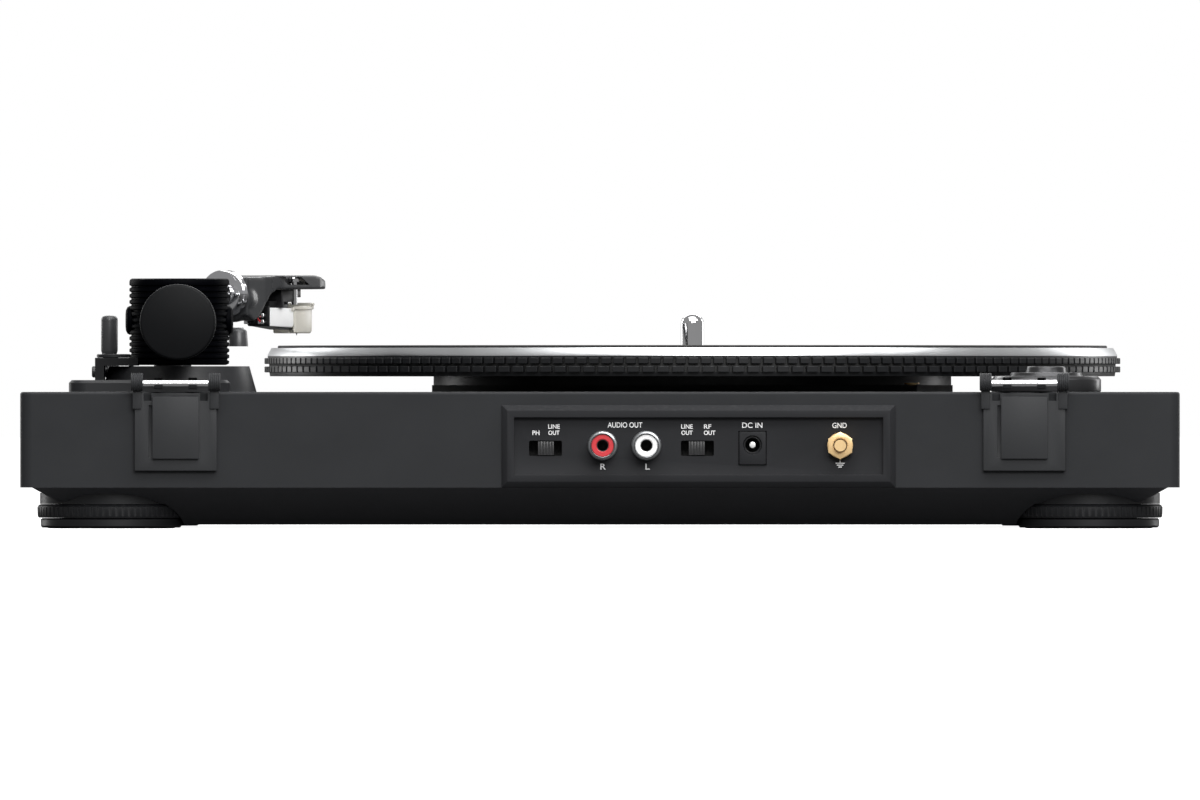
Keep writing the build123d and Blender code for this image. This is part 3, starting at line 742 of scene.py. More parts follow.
@dataclass
class Platter:
    """Platter with its strobe pads, mat and spindle."""

    edge_slope: tuple[float, float] = (1.3, 2.3)
    pad_rows: tuple[tuple[int, float, float], ...] = ((216, 57.0, 59.05), (180, 54.05, 56.1))
    pad_share: float = 0.78
    groove_depth: float = 0.6
    mat_ridges: int = 34
    body: str = "platter_group"

    def __post_init__(self) -> None:
        """Reads the sizes from the frame."""
        disc, pads = Span.of("platter"), Span.of("strobe_band")
        self.axis = Span.of("spindle").mid
        self.rim, self.top, self.low = disc.size.x / 2, disc.high.z, disc.low.z
        self.pad_face = pads.size.x / 2
        self.underside = self.low + 9.5

    def at(self) -> Point:
        """The spindle's axis, at the base."""
        return (self.axis.x, self.axis.y, 0.0)

    def disc(self) -> None:
        """Turns the platter with its drum, the bright edge, and a near-black band in the strobe groove that is painted
        shade between the pads.
        """
        rim, top, skirt = self.rim, self.top, self.underside
        side, drop = self.edge_slope
        inner = rim - self.groove_depth
        disc = Bench.turned("platter_disc", [
            (3.6, top), (rim - side - 0.3, top), (rim - 0.2, top - drop), (rim, top - drop - 0.2), (rim, top - 3.45),
            (inner, top - 3.5), (inner, skirt + 1.2), (rim - 0.8, skirt), (142, skirt), (142, skirt + 4.8),
            (90.5, skirt + 4.8), (90.5, self.low), (86.5, self.low), (86.5, skirt + 4.8), (14, skirt + 4.8),
            (12, self.low + 1.8), (3.6, self.low + 1.8)], BIG_ROUND, ring=True)
        Bench.done(Bench.settle(disc, self.at()), RIM, self.body, "platter")
        bright = Bench.turned("platter_bright_edge", [
            (rim - side - 1.6, top + 0.02), (rim - side, top + 0.04), (rim + 0.02, top - drop),
            (rim + 0.02, top - drop - 0.5), (rim - 1.0, top - drop)], BIG_ROUND, ring=True)
        Bench.done(Bench.settle(bright, self.at()), EDGE, self.body)
        # painted shade: a near-black band in the strobe groove, between the pads, stands in for their shade
        groove = Bench.turned("strobe_groove_shade_band", [
            (inner - 0.4, skirt + 1.4), (inner + 0.12, skirt + 1.4), (inner + 0.12, top - 3.55),
            (inner - 0.4, top - 3.55)], BIG_ROUND, ring=True)
        Bench.done(Bench.settle(groove, self.at()), GROOVE_SHADE, self.body)

    def pads(self) -> None:
        """Makes one pad of each row and repeats it round the rim."""
        rows = []
        for number, (count, low, high) in enumerate(self.pad_rows, 1):
            half = math.pi * self.pad_face / count * self.pad_share
            inner = self.rim - self.groove_depth - 0.2
            pad = Bench.block(f"strobe_pad_row_{number}", (inner, -half, low), (self.pad_face, half, high), 0)
            Bench.stepped(pad, (1, 0, 0), [(0.18, 0.0)])
            Bench.soften(pad, 0.16, 1)
            rows.append(Bench.repeated(pad, count, (0, 0, 0)))
        pads = Bench.joined("strobe_pads", rows)
        Bench.done(Bench.settle(pads, self.at()), RIM, self.body, "strobe_band")

    def mat(self) -> None:
        """Turns the ridged rubber mat."""
        span = Span.of("slip_mat")
        radius, low, high = span.size.x / 2, span.low.z, span.high.z
        steps: list[tuple[float, float]] = [(3.9, low), (3.9, high)]
        pitch = (radius - 16) / self.mat_ridges
        for ridge in range(self.mat_ridges):
            start = 12 + ridge * pitch
            steps += [(start, high), (start + 0.3, high - 0.35), (start + 0.9, high - 0.35), (start + 1.2, high)]
        steps += [(radius - 0.3, high), (radius, high - 0.3), (radius, low)]
        mat = Bench.turned("slip_mat_ridged", steps, BIG_ROUND, ring=True)
        Bench.done(Bench.settle(mat, self.at()), MAT, self.body, "slip_mat")

    def pin(self) -> None:
        """Turns the domed spindle."""
        span = Span.of("spindle")
        radius, dome = span.size.x / 2, 3.4
        steps = [(radius, span.low.z), (radius, span.high.z - dome)]
        for part in range(1, 13):
            turn = math.pi / 2 * part / 12
            steps.append((radius * math.cos(turn) if part < 12 else 0.0, span.high.z - dome + dome * math.sin(turn)))
        pin = Bench.turned("spindle_pin", steps)
        Bench.done(Bench.settle(pin, self.at()), CHROME, self.body, "spindle")

    def build(self) -> None:
        """Builds the whole platter."""
        self.disc()
        self.pads()
        self.mat()
        self.pin()


@dataclass
class Feet:
    """Four feet: housing, turning ring, lower body and tread."""

    count: int = 4

    def foot(self, number: int) -> None:
        """Turns one foot.

        Args:
            number: which foot, from 1.
        """
        ring, plunger = Span.of(f"foot_ring_{number}"), Span.of(f"foot_plunger_{number}")
        at = (ring.mid.x, ring.mid.y, 0.0)
        out, low, high = ring.size.x / 2, ring.low.z, ring.high.z
        collar = Bench.turned(f"foot_ring_turned_{number}", [
            (10.3, high), (out - 1.2, high), (out - 0.5, high - 0.3), (out, high - 1.0), (out, low + 0.8),
            (out - 0.4, low), (10.3, low)], BIG_ROUND // 2, ring=True)
        grip = Bench.block(f"grip_{number}", (out - 0.35, -0.35, low + 0.6), (out + 2, 0.35, high - 0.9), 0)
        Bench.repeated(grip, 72, (0, 0, 0))
        Bench.carved(collar, grip)
        Bench.done(Bench.settle(collar, at), FOOT, f"ring_{number}", f"foot_ring_{number}")
        wide, top = plunger.size.x / 2, ring.low.z - 0.12
        lower = Bench.turned(f"foot_lower_{number}", [
            (wide - 2.2, 0.32), (wide - 0.6, 0.32), (wide, 1.0), (wide, top - 0.5), (wide - 0.5, top), (9.9, top),
            (9.9, plunger.high.z)], BIG_ROUND // 2)
        Bench.done(Bench.settle(lower, at), FOOT, f"plunger_{number}", f"foot_plunger_{number}")
        tread = Bench.turned(f"foot_tread_{number}", [
            (21.4, 0.0), (21.9, 0.1), (21.9, 0.9), (18.0, 0.9), (18.0, 0.45), (17.5, 0.1), (14, 0.0)],
            ROUND, ring=True)
        Bench.done(Bench.settle(tread, at), TREAD, f"plunger_{number}")

    def build(self) -> None:
        """Builds the four feet."""
        for number in range(1, self.count + 1):
            self.foot(number)


@dataclass
class LoosePieces:
    """Pieces that stand on the deck: the wide-hole adapter and the speed knob."""

    def adapter(self) -> None:
        """Turns the adapter for wide-hole records."""
        span = Span.of("adapter_45")
        low, high, wide = span.low.z, span.high.z, span.size.x / 2
        piece = Bench.turned("wide_hole_adapter", [
            (3.65, low), (wide - 0.3, low), (wide, low + 0.3), (wide, high - 4.5), (wide - 1.2, high - 3.3),
            (12.7, high - 3.3), (12.3, high - 2.1), (7.1, high - 2.1), (6.7, high - 0.3), (6.4, high),
            (4.4, high), (3.65, high - 0.8)], ROUND, ring=True)
        Bench.soften(piece, 0.15, 2, 20)
        Bench.done(Bench.settle(piece, (span.mid.x, span.mid.y, 0)), ADAPTER, "adapter", "adapter_45")

    def knob(self) -> None:
        """Turns and knurls the speed knob."""
        span = Span.of("speed_knob")
        wide, high = span.size.x / 2, span.high.z
        knob = Bench.turned("speed_knob_turned", [
            (3.0, span.low.z), (3.0, high - 5.0), (wide - 0.4, high - 5.0), (wide, high - 4.6), (wide, high - 0.8),
            (wide - 0.8, high), (wide - 2.2, high), (wide - 2.6, high - 0.35)], ROUND)
        flute = Bench.block("flute", (wide - 0.3, -0.2, high - 4.2), (wide + 1, 0.2, high - 1.2), 0)
        Bench.repeated(flute, 60, (0, 0, 0))
        pointer = Bench.block("pointer", (-0.5, wide - 6, high - 0.9), (0.5, wide - 2.8, high + 1), 0)
        Bench.carved(knob, flute, pointer)
        Bench.done(Bench.settle(knob, (span.mid.x, span.mid.y, 0)), DARK, "speed_knob", "speed_knob")

    def build(self) -> None:
        """Builds both pieces."""
        self.adapter()
        self.knob()


@dataclass
class TerminalPanel:
    """Rear terminal panel: raised frame, two slide switches, audio sockets, power socket and ground nut."""

    slope: float = 1.9
    border: float = 2.4
    slot_centres: tuple[float, float] = (18.8, -33.6)
    slot_half: float = 5.7
    slot_heights: tuple[float, float] = (25.1, 30.4)
    rib_pitch: float = 1.02
    ribs: int = 5
    label_rise: float = 0.05
    labels: tuple[tuple[str, float, float, float, float], ...] = (
        ("PH", 22.1, 33.1, 2.45, 1.5), ("LINE", 15.85, 35.25, 4.0, 1.5), ("OUT", 15.9, 33.1, 3.85, 1.5),
        ("AUDIO OUT", -8.6, 35.8, 11.95, 1.85), ("R", -1.07, 21.45, 1.9, 2.05), ("L", -16.4, 21.45, 1.5, 2.05),
        ("LINE", -30.0, 35.25, 4.0, 1.5), ("OUT", -30.0, 33.1, 3.85, 1.5), ("RF", -37.1, 35.25, 2.5, 1.5),
        ("OUT", -37.8, 33.1, 3.95, 1.5), ("DC IN", -52.5, 35.7, 7.0, 1.85), ("GND", -82.6, 35.65, 5.0, 1.85))
    earth_bars: tuple[tuple[float, float], ...] = ((3.05, 22.6), (2.2, 21.95), (1.2, 21.3))

    def __post_init__(self) -> None:
        """Reads the sizes from the frame."""
        self.span = Span.of("terminal_frame")
        self.rear = Span.of("plinth_shell").high.y
        self.plate = self.rear + 0.2
        self.shells = Span.of("rca_shells")
        self.power = Span.of("dc_socket")
        self.post = Span.of("ground_post")

    def frame_piece(self) -> None:
        """Steps the raised frame out of a block, and cuts its openings."""
        low, high = self.span.low, self.span.high
        flange = high.y - self.slope - self.rear
        piece = Bench.block("terminal_frame_stepped", (low.x, self.rear, low.z),
                            (high.x, self.rear + flange, high.z), 0)
        Bench.stepped(piece, (0, 1, 0), [(self.slope, self.slope), (self.border, 0), (0, self.plate - high.y)])
        Bench.soften(piece, 0.18, 2, 20)
        inner = self.slope + self.border - 2.0
        back = Bench.block("frame_back", (low.x + inner, low.y, low.z + inner), (high.x - inner, self.plate - 0.05,
                                                                               high.z - inner), 0)
        Bench.carved(piece, back, how="UNION")
        cutters = [Bench.block(f"slot_{x}", (x - self.slot_half, low.y - 9, self.slot_heights[0]),
                               (x + self.slot_half, high.y + 3, self.slot_heights[1]), 0.5)
                   for x in self.slot_centres]
        cutters += [Bench.settle(Bench.turned("socket_hole", [(4.16, low.y - 5), (4.16, high.y + 3)], 64),
                                 (x, 0, self.jack_height()), Facing.REAR) for x in self.jacks()]
        gap = 0.25
        cutters.append(Bench.block("power_hole", (self.power.low.x - gap, low.y - 5, self.power.low.z - gap),
                                   (self.power.high.x + gap, high.y + 3, self.power.high.z + gap), 0))
        Bench.carved(piece, *cutters)
        Bench.done(piece, PANEL, "chassis", "terminal_frame")

    def jacks(self) -> tuple[float, float]:
        """Places of the red and the white socket along X."""
        return Span.of("rca_insert_red").mid.x, Span.of("rca_insert_white").mid.x

    def jack_height(self) -> float:
        """Height of the sockets' axes."""
        return self.shells.mid.z

    def jack(self, x: float, colour: Finish, node: str) -> None:
        """Turns one audio socket: nickel shell, coloured insert and the contact sleeve in its hole.

        Args:
            x: its place along X.
            colour: finish of the insert.
            node: CAD insert that the insert stands for.
        """
        at, tip = (x, 0, self.jack_height()), self.shells.high.y
        label = node.rsplit("_", 1)[1]
        shell = Bench.turned(f"socket_shell_{label}", [
            (3.55, self.plate - 9), (4.1, self.plate - 9), (4.1, self.plate + 0.02), (5.05, self.plate + 0.02),
            (5.15, self.plate + 0.15), (5.15, self.plate + 1.0), (4.8, self.plate + 1.45), (4.3, self.plate + 1.6),
            (4.2, tip - 0.35), (4.06, tip), (3.95, tip - 0.05), (3.95, tip - 1.6), (3.55, tip - 1.7)],
            ROUND, ring=True)
        stands_for = ("rca_shells",) if label == "red" else ()
        Bench.done(Bench.settle(shell, at, Facing.REAR), NICKEL, "chassis", *stands_for)
        insert = Bench.turned(f"socket_insert_{label}", [
            (2.05, self.plate - 9), (3.5, self.plate - 9), (3.5, tip - 1.65), (3.9, tip - 1.55), (3.9, tip - 0.75),
            (3.7, tip - 0.5), (2.4, tip - 0.5), (2.12, tip - 0.75), (2.05, tip - 1.0)], ROUND, ring=True)
        Bench.done(Bench.settle(insert, at, Facing.REAR), colour, "chassis", node)
        sleeve = Bench.turned(f"socket_contact_{label}", [
            (2.06, self.plate - 8.8), (2.06, tip - 0.85), (1.85, tip - 0.9), (1.85, self.plate - 5),
            (0, self.plate - 5)], 64)
        Bench.done(Bench.settle(sleeve, at, Facing.REAR), DEEP, "chassis")

    def power_socket(self) -> None:
        """Makes the power socket, its round bore and its centre pin."""
        low, high = self.power.low, self.power.high
        pin = Span.of("dc_pin")
        middle = (pin.mid.x, 0, pin.mid.z)
        body = Bench.block("power_socket_body", low, (high.x, self.plate + 0.7, high.z), 0.3)
        bore = Bench.turned("bore", [(3.05, low.y + 2.5), (3.05, self.plate), (3.35, self.plate + 0.75),
                                     (3.35, high.y + 3)], 64)
        Bench.carved(body, Bench.settle(bore, middle, Facing.REAR))
        Bench.done(body, PANEL, "chassis", "dc_socket")
        well = Bench.turned("power_socket_well", [
            (2.5, low.y + 2.6), (3.02, low.y + 2.6), (3.02, self.plate + 0.1), (2.9, self.plate + 0.25),
            (2.5, self.plate - 0.2)], 64, ring=True)
        Bench.done(Bench.settle(well, middle, Facing.REAR), DEEP, "chassis")
        tip = self.plate + 0.2
        post = Bench.turned("power_socket_pin", [
            (1.15, low.y + 2.4), (1.15, tip - 0.5), (0.95, tip - 0.1), (0.6, tip), (0, tip)], 64)
        Bench.done(Bench.settle(post, middle, Facing.REAR), BRIGHT, "chassis", "dc_pin")

    def switch(self, number: int) -> None:
        """Makes one ribbed slider in its slot.

        Args:
            number: which switch, from 1.
        """
        node = f"switch_slider_{number}"
        span = Span.of(node)
        slider = Bench.block(f"{node}_ribbed", span.low, (span.high.x, self.plate + 0.5, span.high.z), 0.15)
        grooves = [Bench.block("groove", (span.mid.x + (i - (self.ribs - 1) / 2) * self.rib_pitch - 0.25,
                                          self.plate - 0.6, span.low.z - 1),
                               (span.mid.x + (i - (self.ribs - 1) / 2) * self.rib_pitch + 0.25, span.high.y + 2,
                                span.high.z + 1), 0) for i in range(self.ribs)]
        Bench.carved(slider, *grooves)
        Bench.done(slider, SLIDER, f"slider_{number}", node)

    def ground(self) -> None:
        """Makes the brass hexagon nut with its round centre and washer."""
        nut = Span.of("ground_nut")
        wide, start = nut.size.x / 2 - 0.25, nut.low.y
        at = (nut.mid.x, 0, nut.mid.z)
        face = nut.high.y - 0.6
        hexagon = Bench.turned("ground_nut_hex", [(wide, start + 0.7), (wide, face)], 6)
        Bench.stepped(hexagon, (0, 0, 1), [(0.0, 0.0001)])
        dome = Bench.turned("nut_dome", [
            (wide - 1.2, start - 1), (wide + 1.0, start + 0.9), (wide + 1.0, face - 0.55),
            (wide - 0.9, face + 0.02), (wide - 0.9, face + 1)], 96)
        Bench.carved(hexagon, dome, how="INTERSECT")
        ditch = Bench.turned("ditch", [(2.45, face - 0.35), (2.75, face - 0.35), (2.75, face + 1), (2.45, face + 1)],
                             64, ring=True)
        Bench.carved(hexagon, ditch)
        Bench.done(Bench.settle(hexagon, at, Facing.REAR), BRASS, "ground_nut", "ground_nut")
        washer = Bench.turned("ground_nut_washer", [
            (2.3, start), (4.35, start), (4.45, start + 0.15), (4.35, start + 0.6), (2.3, start + 0.6)],
            96, ring=True)
        Bench.done(Bench.settle(washer, at, Facing.REAR), BRASS, "ground_nut")

    def label(self, number: int, text: str, x: float, z: float, wide: float, tall: float) -> None:
        """Prints one plain function label on the plate.

        Args:
            number: makes its name unlike the others.
            text: the letters.
            x: its middle along X.
            z: its middle height.
            wide: its width.
            tall: height of its capitals.
        """
        Bench.clear()
        bpy.ops.object.text_add()
        piece = Bench.named(f"label_{number}_{text.replace(' ', '_').lower()}")
        piece.data.body = text
        piece.data.align_x, piece.data.align_y = "CENTER", "CENTER"
        piece.data.offset = 0.012
        piece.data.extrude = 0.02
        bpy.ops.object.convert(target="MESH")
        corners = [Vector(corner) for corner in piece.bound_box]
        low = Vector(min(corner[axis] for corner in corners) for axis in range(3))
        high = Vector(max(corner[axis] for corner in corners) for axis in range(3))
        grow = (wide * MM / (high.x - low.x), tall * MM / (high.y - low.y), self.label_rise * MM / (high.z - low.z))
        piece.matrix_world = Matrix.Diagonal((*grow, 1.0)) @ Matrix.Translation(-(low + high) / 2)
        bpy.ops.object.transform_apply(location=True, rotation=True, scale=True)
        Bench.settle(piece, (x, self.plate + self.label_rise / 2, z), Facing.FRONT, 180)
        Bench.done(piece, INK, "chassis")

    def earth(self) -> None:
        """Prints the earth symbol under the ground nut."""
        x, face = self.post.mid.x, self.plate + self.label_rise
        bars = [Bench.block(f"earth_bar_{z}", (x - wide / 2, self.plate, z - 0.17), (x + wide / 2, face, z + 0.17), 0)
                for wide, z in self.earth_bars]
        top = self.earth_bars[0][1]
        bars.append(Bench.block("earth_stem", (x - 0.17, self.plate, top + 0.17), (x + 0.17, face, top + 0.95), 0))
        Bench.done(Bench.joined("earth_symbol", bars), INK, "chassis")

    def build(self) -> None:
        """Builds the whole panel."""
        self.frame_piece()
        for x, colour, node in zip(self.jacks(), (RED, WHITE), ("rca_insert_red", "rca_insert_white")):
            self.jack(x, colour, node)
        self.power_socket()
        for number in (1, 2):
            self.switch(number)
        self.ground()
        for number, label in enumerate(self.labels, 1):
            self.label(number, *label)
        self.earth()


@dataclass
class Hinges:
    """Two rear sockets for a lid: plate with notches, ribbed barrels, steel pin and a leaf."""

    plate_half: float = 14.15
    plate_top: float = 46.8
    notch: tuple[float, float, float] = (8.4, 11.0, 44.1)
    door_half: float = 8.05
    door_heights: tuple[float, float] = (24.1, 45.6)
    lug_half: float = 1.55
    rib_count: int = 6

    def __post_init__(self) -> None:
        """Reads the sizes from the frame."""
        pins, plates = Span.of("hinge_pins"), Span.of("hinge_sockets")
        self.axis_y, self.axis_z = pins.mid.y, pins.mid.z
        self.radius = pins.size.z / 2
        self.centre = Span.of("hinge_leaf_right").mid.x
        self.reach = pins.high.x - self.centre
        self.rear = Span.of("plinth_shell").high.y
        self.face = self.rear + 2.2
        self.low = plates.low.z
        self.barrel_z, self.barrel_radius = self.axis_z + 0.5, 3.1

    def plate(self, x: float) -> bpy.types.Object:
        """Makes the socket plate with its two top notches and the raised door.

        Args:
            x: middle of the hinge.

        Returns:
            The plate.
        """
        half, (inner, outer, step) = self.plate_half, self.notch
        outline = [(x - half, self.low), (x + half, self.low), (x + half, self.plate_top), (x + outer, self.plate_top),
                   (x + outer, step), (x + inner, step), (x + inner, self.plate_top), (x - inner, self.plate_top),
                   (x - inner, step), (x - outer, step), (x - outer, self.plate_top), (x - half, self.plate_top)]
        thick = self.face - self.rear
        plate = Bench.traced("plate", outline, thick)
        Bench.settle(plate, (0, self.rear + thick / 2, 0), Facing.FRONT)
        Bench.outward(plate)
        Bench.soften(plate, 0.25, 2)
        door = Bench.block("door", (x - self.door_half, self.face - 0.5, self.door_heights[0]),
                           (x + self.door_half, self.face + 1.4, self.door_heights[1]), 0.3)
        ditch = Bench.block("ditch", (x + self.door_half - 0.4, self.face - 0.9, self.door_heights[0] + 0.4),
                            (x + self.door_half + 1.3, self.face + 1.5, self.door_heights[1] - 3), 0.2)
        Bench.carved(plate, ditch)
        Bench.carved(plate, door, how="UNION")
        return plate

    def barrel(self, x: float) -> bpy.types.Object:
        """Makes one ribbed barrel on its lug.

        Args:
            x: middle of the barrel.

        Returns:
            The barrel with its lug.
        """
        pitch = 2 * (self.lug_half + 0.5) / self.rib_count
        half = pitch * self.rib_count / 2
        steps: list[tuple[float, float]] = [(self.radius + 0.05, -half)]
        for rib in range(self.rib_count):
            start = -half + rib * pitch
            steps += [(self.barrel_radius - 0.25, start), (self.barrel_radius, start + pitch * 0.3),
                      (self.barrel_radius, start + pitch * 0.6), (self.barrel_radius - 0.25, start + pitch * 0.9)]
        steps += [(self.barrel_radius - 0.25, half), (self.radius + 0.05, half)]
        barrel = Bench.turned("barrel", steps, 96, ring=True)
        Bench.settle(barrel, (x, self.axis_y, self.barrel_z), Facing.RIGHT)
        lug = Bench.block("lug", (x - self.lug_half, self.rear, self.plate_top - 5.5),
                          (x + self.lug_half, self.face + 0.7, self.axis_z - 0.4), 0.3)
        return Bench.joined("barrel", [barrel, lug])

    def pin(self, x: float) -> bpy.types.Object:
        """Turns the polished pin with its chamfered ends."""
        reach, radius = self.reach, self.radius
        pin = Bench.turned("pin", [(radius - 0.3, -reach), (radius, -reach + 0.3), (radius, reach - 0.3),
                                   (radius - 0.3, reach)], 64)
        return Bench.settle(pin, (x, self.axis_y, self.axis_z), Facing.RIGHT)

    def leaf(self, x: float, side: str) -> None:
        """Makes the leaf that a lid fits on, with two rolled knuckles.

        Args:
            x: middle of the hinge.
            side: left or right.
        """
        node = f"hinge_leaf_{side}"
        span = Span.of(node)
        tongue_top, tongue_low = self.axis_z + 1.1, self.axis_z - 1.1
        tongue = Bench.block("tongue", (x - 9, span.low.y, tongue_low), (x + 9, self.rear + 0.6, tongue_top), 0.35)
        pieces = [tongue]
        for way in (-1, 1):
            middle = x + way * 5.9
            roll = Bench.turned("roll", [(self.radius + 0.06, -1.5), (1.9, -1.5), (2.05, -1.3), (2.05, 1.3),
                                         (1.9, 1.5), (self.radius + 0.06, 1.5)], 64, ring=True)
            Bench.settle(roll, (middle, self.axis_y, self.axis_z), Facing.RIGHT)
            mouth = Bench.block("mouth", (middle - 2, self.axis_y + 0.2, self.axis_z - 1.0),
                                (middle + 2, self.axis_y + 4, self.axis_z + 3), 0)
            Bench.carved(roll, mouth)
            strap = Bench.block("strap", (middle - 1.5, self.rear - 0.5, tongue_low),
                                (middle + 1.5, self.axis_y - self.radius - 0.2, tongue_top), 0.2)
            pieces += [roll, strap]
        Bench.done(Bench.joined(f"{node}_rolled", pieces), HINGE, f"leaf_{side}", node)

    def build(self) -> None:
        """Builds both hinges."""
        sockets, pins = [], []
        for x in (self.centre, -self.centre):
            sockets.append(self.plate(x))
            sockets += [self.barrel(x + way * 13.35) for way in (-1, 1)]
            pins.append(self.pin(x))
        Bench.done(Bench.joined("hinge_socket_plates", sockets), HINGE, "chassis", "hinge_sockets")
        Bench.done(Bench.joined("hinge_pins_polished", pins), PIN, "chassis", "hinge_pins")
        self.leaf(self.centre, "right")
        self.leaf(-self.centre, "left")


@dataclass
class ArmMount:
    """What the tonearm stands on: ribbed tower with bearing caps, and the cue lever's handle."""

    rib_pitch: float = 2.1
    rib_depth: float = 0.65
    rail: tuple[float, float] = (66.6, 69.6)
    body: str = "arm_yaw"

    def __post_init__(self) -> None:
        """Reads the sizes from the frame."""
        self.span = Span.of("arm_tower")
        block = Span.of("pivot_block")
        self.x, self.y = block.mid.x, block.mid.y
        self.low, self.top = block.low.z - 5.5, self.span.high.z
        self.radius = self.span.size.y / 2
        self.tilt_z = self.low + 15.5

    def tower(self) -> None:
        """Turns the ribbed tower, hollows it and opens it for the tube and for the weight's stub."""
        low, top, wide = self.low, self.top, self.radius
        steps = [(wide - 1.2, low), (wide - 0.1, low + 0.5)]
        z = low + 1.4
        while z < top - 2.2:
            steps += [(wide, z), (wide - self.rib_depth, z + 0.35), (wide - self.rib_depth, z + 0.75), (wide, z + 1.1),
                      (wide + 0.04, z + 1.6)]
            z += self.rib_pitch
        steps += [(wide, top - 0.9), (wide - 0.25, top - 0.35), (wide - 0.9, top), (12.6, top), (12.3, top - 0.35),
                  (11.9, top - 0.35), (11.6, top)]
        tower = Bench.turned("arm_tower_ribbed", steps, 192)
        hollow = Bench.turned("hollow", [(14.4, low + 3), (14.4, top - 1.5)], 96)
        Bench.carved(tower, hollow)
        front = Bench.block("front", (-5.4, -20, 73.0), (5.4, -1, top + 3), 0)
        rear = Bench.block("rear", (-4.6, 10, self.tilt_z - 8.5), (4.6, 20, self.tilt_z + 6.5), 0)
        Bench.carved(tower, front, rear)
        Bench.done(Bench.settle(tower, (self.x, self.y, 0)), GLOSS, self.body, "arm_tower")
        caps = []
        for way, facing in ((1, Facing.RIGHT), (-1, Facing.LEFT)):
            cap = Bench.turned("cap", [(5.0, 16.4), (5.0, 17.2), (4.6, 18.0), (3.6, 18.5), (2.4, 18.65), (2.2, 18.4),
                                       (0, 18.3)], 64)
            slot = Bench.block("slot", (-0.35, -2.0, 17.9), (0.35, 2.0, 19), 0)
            Bench.carved(cap, slot)
            caps.append(Bench.settle(cap, (self.x, self.y, self.tilt_z), facing))
        Bench.done(Bench.joined("bearing_caps", caps), GLOSS, self.body)

    def lever(self) -> None:
        """Turns the cue lever's domed handle, its neck and its hub."""
        span = Span.of("cue_lever")
        x, top = span.high.x - 6.1, span.high.z
        y, hub = span.mid.y, span.low.z + 2.7
        handle = Bench.turned("handle", [
            (1.35, hub), (1.45, hub + 1.5), (1.9, hub + 3.6), (2.55, hub + 6.2), (2.82, hub + 7.0), (2.86, hub + 7.3),
            (2.9, hub + 7.5), (2.9, top - 1.7), (2.78, top - 0.95), (2.35, top - 0.4), (1.6, top - 0.1), (0, top)], 96)
        Bench.settle(handle, (x, y, 0))
        shaft = Bench.turned("shaft", [(1.6, span.low.x), (2.0, span.low.x + 0.4), (2.0, span.high.x - 0.4),
                                       (1.6, span.high.x)], 64)
        Bench.settle(shaft, (0, y, hub), Facing.RIGHT)
        ring = Bench.turned("ring", [(2.4, x - 3.2), (2.7, x - 2.9), (2.7, x + 0.5), (2.4, x + 0.8)], 64)
        Bench.settle(ring, (0, y, hub), Facing.RIGHT)
        Bench.done(Bench.joined("cue_lever_handle", [handle, shaft, ring]), LEVER, "cue_lever", "cue_lever")

    def lift(self) -> None:
        """Makes the lift bar: curved rail, post and the round end that stands beside the tower."""
        span = Span.of("lift_bar")
        low, high = self.rail
        turns = [math.radians(-138 + 76 * part / 24) for part in range(25)]
        arc = [(30 * math.cos(turn), 30 * math.sin(turn)) for turn in turns]
        arc += [(25 * math.cos(turn), 25 * math.sin(turn)) for turn in reversed(turns)]
        rail = Bench.traced("rail", arc, high - low)
        Bench.soften(rail, 0.4, 2)
        Bench.settle(rail, (self.x, self.y, (low + high) / 2))
        end = Bench.turned("end", [(3.45, span.high.z - 6.6), (3.4, span.high.z - 5.9), (3.05, span.high.z - 1.5),
                                   (2.7, span.high.z - 0.9), (1.2, span.high.z), (0, span.high.z)], 64)
        Bench.settle(end, (span.low.x + 3.4, self.y - 19.5, 0))
        post = Bench.turned("post", [(2.5, span.low.z), (2.5, low + 0.4)], 48)
        Bench.settle(post, (self.x + 4.2, self.y - 29, 0))
        Bench.done(Bench.joined("lift_rail", [rail, end, post]), LEVER, "lift", "lift_bar")

    def dial(self) -> None:
        """Turns the anti-skating dial with its milled edge and its scale marks."""
        span = Span.of("anti_skate_dial")
        wide, high = span.size.x / 2, span.high.z
        dial = Bench.turned("dial", [(1.5, span.low.z), (1.5, high - 1.25), (wide - 0.3, high - 1.25),
                                     (wide, high - 1.0), (wide, high - 0.25), (wide - 0.3, high), (1.2, high),
                                     (0.9, high - 0.2)], 96)
        notch = Bench.block("notch", (wide - 0.15, -0.12, high - 1.1), (wide + 1, 0.12, high + 1), 0)
        Bench.repeated(notch, 48, (0, 0, 0))
        Bench.carved(dial, notch)
        at = (span.mid.x, span.mid.y, 0)
        Bench.done(Bench.settle(dial, at), DARK, "skate_dial", "anti_skate_dial")
        mark = Bench.block("mark", (-0.09, wide - 2.2, high - 0.02), (0.09, wide - 1.0, high + 0.03), 0)
        Bench.repeated(mark, 8, (0, 0, 0))
        Bench.done(Bench.joined("anti_skate_marks", [Bench.settle(mark, at)]), INK, "skate_dial")

    def build(self) -> None:
        """Builds the tower, the lever and the dial."""
        self.tower()
        self.lever()
        self.lift()
        self.dial()


